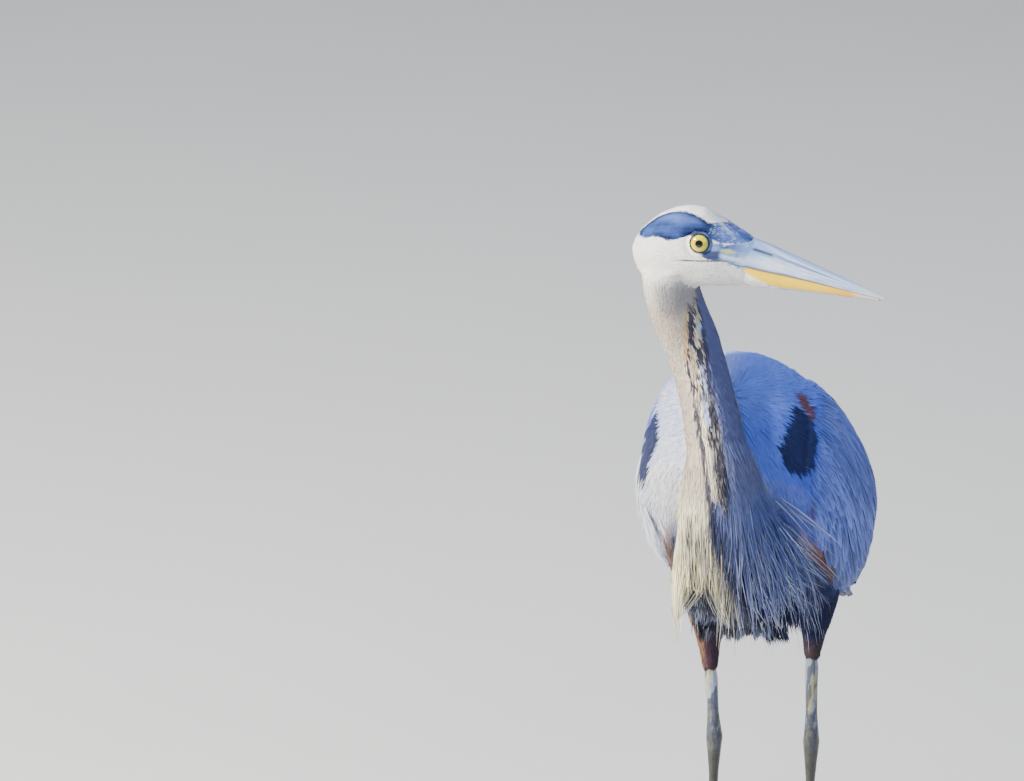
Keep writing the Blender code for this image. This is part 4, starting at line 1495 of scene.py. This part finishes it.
def coat_head(skin, material):
    """Short feathers on face and nape, all round the bare skin."""
    along, out, height = head_place(skin.centres)
    near = skin.on("head") | (skin.on("neck_upper") & (height > 0.728))
    bare = bare_share(along, height) * (np.abs(out) > 0.008)
    feathered = near & (bare < 0.5) & (along < np.where(height > 0.757, 0.0865, 0.096))
    for name, chosen, seed, density, size in (
        ("coat_face", feathered & (along > 0.020), 101, 1.7e6, (4.6, 1.15, 1.2)),
        ("coat_nape", feathered & (along <= 0.020), 102, 1.3e6, (7.5, 1.5, 1.2)),
    ):
        vanes = Vanes(skin, seed)
        vanes.grow(chosen, density, lie_head, tint_head, size, unwrap_head, stations=4, columns=2,
                   shade=0.05, dark_root=0.20)
        vanes.pieces(name, material, "head_feathers")


def coat_chin(bill_surface, material):
    """The small white feathers that run out under the lower bill."""
    vanes = Vanes(bill_surface, 103)
    along, _, height = head_place(bill_surface.centres)
    edge = 0.7370 - (along - 0.077) * 0.30
    chosen = (height < edge) & (along > 0.068) & (along < 0.1235)
    vanes.grow(chosen, 1.3e6, lie_chin, tint_chin, (5.0, 1.1, 0.9), unwrap_head, stations=4,
               camber=0.2, shade=0.06, dark_root=0.15)
    vanes.pieces("coat_chin", material, "head_feathers")


def coat_neck(skin, material):
    """Short feathers down the neck, with longer ones along its stripe."""
    height = skin.centres[:, 2]
    for name, node, seed, top in (
        ("coat_neck_upper", "neck_upper", 107, 0.734),
        ("coat_neck_middle", "neck_middle", 109, 1.0),
    ):
        vanes = Vanes(skin, seed)
        chosen = skin.on(node) & (height < top)
        vanes.grow(chosen, 0.85e6, lie_neck, tint_neck, (11, 1.5, 2.0), unwrap_neck, stations=4,
                   columns=2, wave=0.07, shade=0.045, dark_root=0.15)
        roots = vanes.roots(chosen, 0.20e6)
        key, angle, _ = Neck.place(roots)
        middle, half = curve(NECK_STRIPE, key).T
        on_stripe = (np.abs(angle - middle) < half * 1.5) & (key > 1.2)
        vanes.lay(roots[on_stripe], lie_neck, tint_neck, (19, 3.0, 3.0), unwrap_neck, stations=6,
                  camber=0.25, shade=0.08, dark_root=0.25)
        vanes.pieces(name, material, "neck_feathers")


def coat_chest(skin, material):
    """Fine hair-like feathers over the foot of the neck and the front of the trunk."""
    vanes = Vanes(skin, 113)
    along, angle = body_place(skin.centres)
    front = skin.on("trunk") & (along < 0.02) & (np.abs(angle) > 100)
    for chosen, density, lie, tint, unwrap, dark_root, pale_tip in (
        (skin.on("neck_lower"), 0.62e6, lie_neck, tint_neck_foot, unwrap_neck, 0.18, 0.08),
        (front, 0.50e6, lie_body, tint_body, unwrap_body, 0.20, 0.20),
    ):
        vanes.grow(chosen, density, lie, tint, (28, 1.4, 4.5), unwrap, shape=HAIR_VANE, stations=6,
                   columns=2, wave=0.08, shade=0.06, dark_root=dark_root, pale_tip=pale_tip,
                   tip_colour="plume_tip")
    vanes.pieces("coat_chest", material, "neck_feathers")


def tint_neck_foot(points, chance):
    """The neck's colours passing into the breast's."""
    key, angle, _ = Neck.place(points)
    middle, half = curve(NECK_STRIPE, key).T
    beside = np.abs((angle - middle) / half) > 1.3
    low = (ramp(key, 6.2, 7.6) * beside)[:, None]
    # Painted shade: lilac on the left side, as on the neck
    plumes = mixed(tint_plumes(points, chance), "neck_lilac", 0.6 * breast_sides(points)[0])
    return tint_neck(points, chance) * (1 - low) + plumes * low


def coat_mantle(skin, material):
    """The shoulders' and the back's feathers, and longer ones over the step behind the neck."""
    vanes = Vanes(skin, 127)
    along, angle = body_place(skin.centres)
    turn = np.abs(angle)
    trunk = skin.on("trunk")
    front = trunk & (along < 0.05) & (turn <= 102)
    back = trunk & (along >= 0.05) & (turn <= 70)
    step = trunk & (np.abs(along) < 0.040) & (turn > 24) & (turn < 50)
    for chosen, density, size, columns, shade in (
        (front, 0.44e6, (22, 1.8, 3.0), 2, 0.04),
        (back, 0.14e6, (36, 5.0, 3.2), 3, 0.05),
        (step, 0.16e6, (17, 2.2, 4.6), 2, 0.04),
    ):
        vanes.grow(chosen, density, lie_body, tint_body, size, columns=columns, wave=0.06,
                   shade=shade, dark_root=0.25, pale_tip=0.30, tip_colour="mantle_pale")
    vanes.pieces("coat_mantle", material, "body_feathers")


def coat_belly(skin, material):
    """Belly, the short feathers of the breast, the dark hollow beside it and its curled tufts."""
    vanes = Vanes(skin, 131)
    along, angle = body_place(skin.centres)
    across, away, height = skin.centres.T
    turn = np.abs(angle)
    trunk, breast = skin.on("trunk"), skin.on("breast")
    belly = trunk & (turn > 102) & (along > 0.0) | trunk & (turn > 70) & (along > 0.05)
    vanes.grow(belly, 0.20e6, lie_body, tint_body, (28, 3.0, 5.0), columns=2, hang=0.35,
               shade=0.12, wave=0.14)
    vanes.grow(breast, 0.22e6, lie_plume, tint_breast, (30, 2.0, 5.0), shape=HAIR_VANE, columns=2,
               hang=0.85, locks=0.35, shade=0.16, wave=0.16, pale_tip=0.25, tip_colour="belly")
    beside = (across > 0.014) & (across < 0.085) & (height < 0.47)
    edge = breast & beside & (height > 0.385)
    hollow = (skin.on("thigh_left") | trunk & (turn > 110)) & beside & (height > 0.365)
    for chosen, density, length in ((edge, 0.05e6, 34), (hollow, 0.14e6, 54)):
        vanes.grow(chosen, density, lie_flank, tint_flank, (length, 2.6, 6.0), stations=6,
                   columns=2, hang=0.9, locks=0.4, vary=0.3, shade=0.16, wave=0.16)
    tufts = breast & (across > -0.035) & (height > 0.37) & (height < 0.415) & (away < -0.11)
    vanes.grow(tufts, 0.040e6, lie_plume, tint_tuft, (24, 3.4, 12.0), stations=7, hang=0.5,
               curl=0.5, locks=0.75, vary=0.4, shade=0.12, wave=0.25, pale_tip=0.5)
    vanes.pieces("coat_belly", material, "body_feathers")


def coat_thighs(skin, material):
    """Close feathers round the lower thighs, looser ones above."""
    vanes = Vanes(skin, 137)
    thighs = skin.on(*THIGH_NODES)
    low = skin.centres[:, 2] < 0.315
    vanes.grow(thighs & low, 0.60e6, lie_thigh, tint_thigh, (14, 1.6, 1.0), unwrap_leg, stations=4,
               columns=2, hang=0.8, shade=0.14, wave=0.12)
    vanes.grow(thighs & ~low, 0.22e6, lie_thigh, tint_thigh, (20, 2.6, 4.0), unwrap_leg, stations=4,
               shade=0.14, wave=0.18)
    vanes.pieces("coat_thighs", material, "thigh_feathers")


# ---------------------------------------------------------------- wings and plumes

def lie_plume(points, normals):
    """Down, and ever more outwards towards the breast's left side."""
    side = points[:, 0] - 0.002
    high = 0.35 + 0.65 * ramp(points[:, 2], 0.40, 0.47)
    spread = 1.70 * high * ramp(side, 0.004, 0.066) - 0.25 * ramp(-side, 0.010, 0.055)
    return unit(DOWN + np.outer(spread, (1.0, 0.10, 0.0)) + np.array((0.0, -0.05, 0.0)))


def lie_wire(points, normals):
    spread = 0.10 + 1.50 * ramp(points[:, 0], 0.014, 0.060)
    return unit(DOWN + np.outer(spread, (1.0, 0.15, 0.0)))


def lie_flank(points, normals):
    """Down, and in towards the space between the breast and the left leg."""
    inwards = np.clip((0.044 - points[:, 0]) / 0.030, -1.0, 1.0)
    return unit(DOWN + np.outer(inwards, (0.9, 0.0, 0.0)))


def staggered(skin, chance, rows, low, high, gap, side=1):
    """Places on the skin in staggered rows round the body, gap apart, each from low to high.

    rows are distances along the body; low and high give each row's angles as (distances, angles).
    """
    along, angle = [], []
    step = np.degrees(gap / BODY_RADIUS)
    for number, distance in enumerate(rows):
        start = np.interp(distance, *low) + step * 0.5 * (number % 2)
        angles = np.arange(start, np.interp(distance, *high), step)
        angle.append(angles)
        along.append(np.full(len(angles), distance))
    along, angle = np.concatenate(along), np.concatenate(angle)
    along = along + chance.normal(0.0, gap * 0.12, len(along))
    angle = angle + chance.normal(0.0, step * 0.10, len(angle))
    return dropped(skin, along, side * angle)


def dropped(skin, along, angle):
    """The outermost place of the skin at each along and angle."""
    start, out = body_spoke(along, angle)
    found = skin.hit(start + out * FAR_OUT, -out)
    return found[~np.isnan(found[:, 0])]


def always(angle):
    """The same angle for all rows."""
    return (0, 1), (angle, angle)


# Along the body: the upper and the lower edge of a folded wing, as angles from the back
WING_UPPER = ((-0.040, -0.020, 0.020, 0.080, 0.150, 0.260), (66, 48, 28, 18, 13, 12))
WING_LOWER = (
    (-0.040, -0.020, 0.020, 0.080, 0.150, 0.220, 0.300), (98, 116, 127, 132, 132, 126, 118),
)
BODY_RADIUS = 0.095                               # about how far the coat is from the body's line
BACK_PLUMES = 620                                 # to each side
FAR_OUT = 0.30                                    # well outside the coat


def coat_wing(skin, side_name, side, material, quill_material):
    """Coverts in rows, from small at the shoulder to long behind, over the flight feathers."""
    vanes = Vanes(skin, 139 + side)
    quills = Vanes(skin, 149 + side)
    for rows, gap, size in (
        (np.arange(-0.038, 0.030, 0.0085), 0.0046, (34, 5.4, 1.8)),
        (np.arange(0.012, 0.125, 0.0210), 0.0055, (78, 6.6, 2.2)),
        (np.arange(0.100, 0.205, 0.0240), 0.0078, (96, 10.5, 2.8)),
    ):
        roots = staggered(skin, vanes.chance, rows, WING_UPPER, WING_LOWER, gap, side)
        vanes.lay(roots, lie_wing, tint_wing, size, shape=ROUND_VANE, stations=8, columns=5,
                  camber=0.12, wave=0.04, shade=0.08, dark_root=0.30, dark_middle=0.45,
                  pale_edge=0.60, pale_tip=0.12, tip_colour="wing_pale")
    if side_name == "right":
        loose_edge(vanes)
    vanes.pieces("coat_wing_" + side_name, material, "wing_feathers")
    for rows, top, gap, size in (
        ((0.170, 0.190, 0.210), 12, 0.0130, (105, 17, 2.6)),
        ((0.235, 0.255), 10, 0.0120, (170, 17, 2.6)),
    ):
        roots = staggered(skin, vanes.chance, rows, always(top), WING_LOWER, gap, side)
        quills.lay(roots, lie_quill, tint_quill, size, shape=QUILL_VANE, stations=12, columns=5,
                   camber=0.10, wave=0.02, shade=0.05, dark_root=0.2, pale_edge=0.15,
                   tip_colour="wing")
    quills.pieces("quills_" + side_name, quill_material, "flight_feathers")


def loose_edge(vanes):
    """The pale loose coverts that hang along the right wing's lower edge."""
    along, angle = body_place(vanes.surface.centres)
    edge = inside(-angle, 84, 122, 1) * inside(along, -0.010, 0.055, 0.001)
    vanes.grow(edge > 0.5, 0.016e6, lie_edge, tint_wing, (46, 3.6, 6.0), stations=9, hang=0.9,
               fall=0.1, vary=0.25, wave=0.05, shade=0.04, dark_root=0.1, pale_edge=0.3,
               tip_colour="shoulder_pale")


def tint_quill(points, chance):
    """Slate flight feathers, the long ones almost black."""
    along, angle = body_place(points)
    turn = np.abs(angle)
    colour = mixed(tint_wing(points, chance), "wing_low", 0.45 + 0.45 * ramp(turn, 60, 110))
    return mixed(colour, "quill", ramp(along, 0.260, 0.350) * (0.4 + 0.6 * ramp(turn, 20, 60)))


def coat_tail(skin, material):
    """Under-tail coverts, and the tail's own feathers fanned out above and below it."""
    vanes = Vanes(skin, 151)
    for low, high, first, last in (
        (138, 222, 0.260, 0.400),
        (104, 140, 0.350, 0.446),
        (220, 256, 0.350, 0.446),
    ):
        rows = np.arange(first, last, 0.012)
        roots = staggered(skin, vanes.chance, rows, always(low), always(high), 0.010)
        vanes.lay(roots, lie_quill, tint_under, (42, 11, 3.0), shape=ROUND_VANE, stations=6,
                  wave=0.06)
    for facing, rise, slope in ((1, -0.0015, -0.040), (-1, -0.0185, 0.085)):
        vanes.surface, roots = tail_board(facing, rise, slope)
        vanes.lay(roots, lie_fan, tint_tail, (104, 15, 2.4), shape=QUILL_VANE, stations=12,
                  columns=5, camber=0.10, wave=0.02, vary=0.02, shade=0.05, dark_root=0.1)
    vanes.pieces("coat_tail", material, "tail_feathers", "tail")


TAIL_START = 0.370                                # along the body's line
TAIL_STOP = 0.530
TAIL_HALF = 0.048
TAIL_QUILLS = 9
QUILL_ROOTS = (0.392, 0.011)                      # along the body's line, and the outermost ones aside


def tail_place(along, across, rise, slope):
    """A place on the tail's upper or lower face, which droops towards its sides."""
    above = rise + slope * (along - 0.390) - TAIL_DROOP * across**2
    points = BODY_START + np.outer(along, BODY_ALONG) + np.outer(above, BODY_UP)
    return points + np.outer(across, LEFT)


def tail_board(facing, rise, slope):
    """A sheet along the tail's upper or lower face, and the quills' roots on it."""
    steps = 9
    along, across = np.meshgrid(
        np.linspace(TAIL_START, TAIL_STOP, steps),
        np.linspace(-TAIL_HALF, TAIL_HALF, steps),
        indexing="ij",
    )
    points = tail_place(along.ravel(), across.ravel(), rise, slope)
    board = Surface(points, grid_faces(steps, steps))
    if facing * (board.normals @ BODY_UP).mean() < 0:
        board = Surface(points, board.faces[:, ::-1])
    along, aside = QUILL_ROOTS
    across = np.linspace(-aside, aside, TAIL_QUILLS)
    return board, tail_place(np.full(TAIL_QUILLS, along), across, rise, slope)


def lie_fan(points, normals):
    """Along the tail, spreading a little to its sides."""
    return unit(BODY_ALONG + np.outer(points[:, 0] - BODY_START[0], 1.2 * LEFT))


def tint_tail(points, chance):
    return plain("tail", len(points))


def tint_under(points, chance):
    return Paint("belly", points)("tail", 0.55 + 0.3 * wander(points, 20 * MM, 61))


def plumes_back(skin, material):
    """Long narrow plumes from the shoulders that hang over the wings."""
    vanes = Vanes(skin, 157)
    for side in SIDES.values():
        along = vanes.chance.uniform(-0.030, 0.130, BACK_PLUMES)
        angle = side * vanes.chance.uniform(8, 72, BACK_PLUMES)
        vanes.lay(dropped(skin, along, angle), lie_wing, tint_plume_back, (105, 4.0, 2.8),
                  stations=12, wave=0.05, curl=0.04, shade=0.07, dark_root=0.2, pale_edge=0.30,
                  pale_tip=0.25, tip_colour="wing_pale")
    vanes.pieces("plumes_back", material, "wing_feathers")


def tint_plume_back(points, chance):
    paint = Paint("wing", points)
    paint("wing_pale", chance.random(len(points)) * 0.45)
    # Painted shade: a darker band below the scapular plumes
    paint("wing_low", 0.5 * ramp(np.abs(body_place(points)[1]), 55, 85))
    return paint("wing_low", 0.5 * (chance.random(len(points)) < 0.25))


def plumes_breast(skin, material):
    """Long thin plumes that hang from the foot of the neck, the last ones paler and finer."""
    vanes = Vanes(skin, 163)
    key, angle, _ = Neck.place(skin.centres)
    across, away, height = skin.centres.T
    foot = skin.on("neck_lower") & (np.abs(angle) < 95) & (key > 5.9)
    left = across > 0.004
    front_left = skin.on("breast") & (away < -0.10) & left
    front_right = skin.on("breast") & (away < -0.10) & ~left
    front_high = (front_left | front_right) & (height > 0.475)
    for chosen, density, size, pale_tip, locks, shade in (
        (foot, 0.19e6, (56, 1.4, 4.5), 0.15, 0.30, 0.07),
        (front_high, 0.15e6, (48, 1.4, 5.0), 0.20, 0.50, 0.08),
        (front_right & (height > 0.45), 0.044e6, (98, 1.7, 6.0), 0.60, 0.95, 0.18),
        (front_right & (height > 0.42), 0.010e6, (84, 1.6, 6.0), 0.75, 0.92, 0.18),
        (front_left & (height > 0.44), 0.070e6, (80, 1.3, 5.0), 0.25, 0.60, 0.14),
        (front_left & (height > 0.41), 0.026e6, (52, 1.2, 5.0), 0.40, 0.60, 0.14),
        (foot & left, 0.018e6, (108, 1.1, 6.0), 0.60, 0.10, 0.10),
        (front_left & (height > 0.43), 0.018e6, (92, 1.1, 7.0), 0.75, 0.15, 0.10),
    ):
        vanes.grow(chosen, density, lie_plume, tint_plumes, size, shape=HAIR_VANE, stations=10,
                   columns=2, wave=0.07, curl=0.15, hang=0.95, locks=locks, vary=0.42, shade=shade,
                   dark_root=0.15, pale_tip=pale_tip, tip_colour="plume_tip",
                   root_tint=tint_neck_foot)
    beside = (across > 0.010) & (across < 0.060) & (away < -0.12)
    wires = beside & (height > 0.400) & (height < 0.500)
    vanes.grow(wires, 0.009e6, lie_wire, tint_wire, (64, 1.2, 7.0), shape=HAIR_VANE, stations=10,
               columns=2, wave=0.09, curl=0.06, hang=0.98, fall=0.08, vary=0.25, shade=0.06,
               dark_root=0.20)
    vanes.pieces("plumes_breast", material, "breast_plumes")


# ---------------------------------------------------------------- stage

CAMERA_TURN = radians(15)
CAMERA_FALL = radians(20)
CAMERA_AWAY = 14.0
CAMERA_AIM = (-0.254, 0.5155, -0.250)             # right, up and ahead, as the camera looks
CAMERA_LENS = 492.2
HEART = 0.5                                       # height that the lights are turned to

# name, how far to the right, up and ahead as the camera looks, size across, power, colour
LIGHTS = (
    ("key", -2.9, 1.5, -1.5, 0.8, 430, (1.0, 0.94, 0.84)),
    ("fill", 2.2, 0.7, -2.2, 2.4, 44, (0.62, 0.76, 1.0)),
    ("top", 0.0, 3.0, 0.8, 3.0, 70, (0.84, 0.91, 1.0)),
)
SKY_COLOUR = (0.74, 0.84, 1.0, 1.0)
SKY_STRENGTH = 0.38
FLOOR_HALF = 12.0
FLOOR_DROP = 0.2 * MM
FLOOR_GREY = 0.62


def camera_axes():
    turn, fall = CAMERA_TURN, CAMERA_FALL
    right = Vector((cos(turn), sin(turn), 0.0))
    up = Vector((-sin(turn) * sin(fall), cos(turn) * sin(fall), cos(fall)))
    return right, up, up.cross(right)


def make_camera():
    right, up, ahead = camera_axes()
    aside, above, beyond = CAMERA_AIM
    aim = Vector(HOME) + right * aside + up * above + ahead * beyond
    camera = bpy.data.objects.new("camera", bpy.data.cameras.new("camera"))
    camera.data.lens = CAMERA_LENS
    camera.data.clip_end = 100
    axes = Matrix((right, up, -ahead)).transposed().to_4x4()
    axes.translation = aim - ahead * CAMERA_AWAY
    camera.matrix_world = axes
    bpy.context.scene.collection.objects.link(camera)
    bpy.context.scene.camera = camera


def make_lights():
    right, _, ahead = camera_axes()
    heart = Vector(HOME) + Vector((0.0, 0.0, HEART))
    for name, aside, above, beyond, size, power, colour in LIGHTS:
        light = bpy.data.lights.new(name, "AREA")
        light.shape = "DISK"
        light.size = size
        light.energy = power
        light.color = colour
        lamp = bpy.data.objects.new(name, light)
        lamp.location = heart + right * aside + ahead * beyond + Vector((0.0, 0.0, above))
        lamp.rotation_euler = (lamp.location - heart).to_track_quat("Z", "Y").to_euler()
        bpy.context.scene.collection.objects.link(lamp)


def make_sky():
    world = bpy.data.worlds.new("studio")
    world.use_nodes = True
    sky = world.node_tree.nodes["Background"]
    fill(world.node_tree, sky, {"Color": SKY_COLOUR, "Strength": SKY_STRENGTH})
    bpy.context.scene.world = world


def make_floor():
    """A large grey floor, set a hair below the soles."""
    corners = np.array([(-1, -1, 0), (1, -1, 0), (1, 1, 0), (-1, 1, 0)]) * FLOOR_HALF
    grey = np.full((4, 3), FLOOR_GREY)
    finish = procedural("studio_floor", 0.8, 0.30, 0.015, 0.02, 0.004)
    floor = piece_from("floor", corners + FLOOR_DROP * DOWN, np.array([[0, 1, 2, 3]]), grey, finish)
    floor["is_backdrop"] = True


# ---------------------------------------------------------------- the whole bird

# Painted shade under the coat: the skin's colour is darkened to this share
SKIN_SHADE = 0.55                                 # the skin is darker than the vanes over it


def make_skin(frame, material):
    """One skin under the whole coat, with the bare face and the lids joined to it."""
    mesh, owners = joined_nodes(frame, FLESH)
    solids = BVHTree.FromPolygons(
        [vert.co - Vector(HOME) for vert in mesh.vertices],
        [tuple(face.vertices) for face in mesh.polygons],
    )
    form = melted(mesh, SKIN_VOXEL, SKIN_ROUNDS)
    owner = owners_of(form.points, solids, owners)
    skin = shrunk(form, owner)
    colour = tint_flesh(skin.points, owner, np.random.default_rng(7)) * SKIN_SHADE
    parts = [(skin.points, skin.faces, colour)]
    for side in SIDES.values():
        parts += [face_patch(form, side), lid(side)]
    piece = piece_from("skin", *joined(parts), material)
    publish(piece, "body_feathers", *FLESH)
    return skin


def note_size(low, high, key, notes):
    notes[key] = [list(low), list(high)]


def main():
    notes = {}
    note_size(*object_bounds(), "cad", notes)
    skin_finish = procedural("skin_under_coat", 0.60, 2.5 * MM, 0.10, 0.25, 1.0 * MM)
    down = procedural("soft_feather", 0.78, 9 * MM, 0.07, 0.25, 0.5 * MM, barbs=3.0, sheen=0.05)
    vane = procedural("vaned_feather", 0.66, 14 * MM, 0.07, 0.30, 0.5 * MM, barbs=9.0, sheen=0.04)
    quill = procedural("flight_feather", 0.55, 20 * MM, 0.06, 0.30, 0.5 * MM, barbs=12.0)
    horn = procedural("horn", 0.32, 5 * MM, 0.05, 0.10, 0.8 * MM, coat=0.25)
    wet = procedural("wet_eye", 0.06, 2 * MM, 0.04, 0.0, 1.0 * MM, coat=1.0)
    scaly = procedural("scaly_skin", 0.50, 3 * MM, 0.12, 0.35, 0.9 * MM, coat=0.15)
    claw = procedural("claw_horn", 0.35, 2 * MM, 0.10, 0.10, 0.5 * MM, coat=0.2)
    skin = make_skin(frame, skin_finish)
    for side_name, side in SIDES.items():
        make_eye(side_name, side, wet)
        make_leg(frame, side_name, scaly)
        coat_wing(skin, side_name, side, vane, quill)
    make_claws(frame, claw)
    bill_surface = make_bill(horn)
    coat_head(skin, down)
    coat_chin(bill_surface, down)
    coat_neck(skin, down)
    coat_chest(skin, down)
    coat_mantle(skin, vane)
    coat_belly(skin, down)
    coat_thighs(skin, down)
    coat_tail(skin, quill)
    plumes_back(skin, vane)
    plumes_breast(skin, down)
    make_camera()
    make_lights()
    make_sky()
    make_floor()
    note_size(*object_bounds(), "shown", notes)


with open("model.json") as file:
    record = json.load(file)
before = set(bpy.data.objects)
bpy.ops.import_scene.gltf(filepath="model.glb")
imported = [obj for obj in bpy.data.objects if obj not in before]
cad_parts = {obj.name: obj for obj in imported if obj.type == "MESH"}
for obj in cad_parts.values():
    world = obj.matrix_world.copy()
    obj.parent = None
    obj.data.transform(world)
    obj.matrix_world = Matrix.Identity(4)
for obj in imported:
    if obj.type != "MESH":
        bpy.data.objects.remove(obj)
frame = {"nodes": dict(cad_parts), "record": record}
soles = [mount["pos_m"] for mount in frame["record"]["mounts"]]
HOME = np.mean(soles, axis=0) - SOLES_MIDDLE
main()
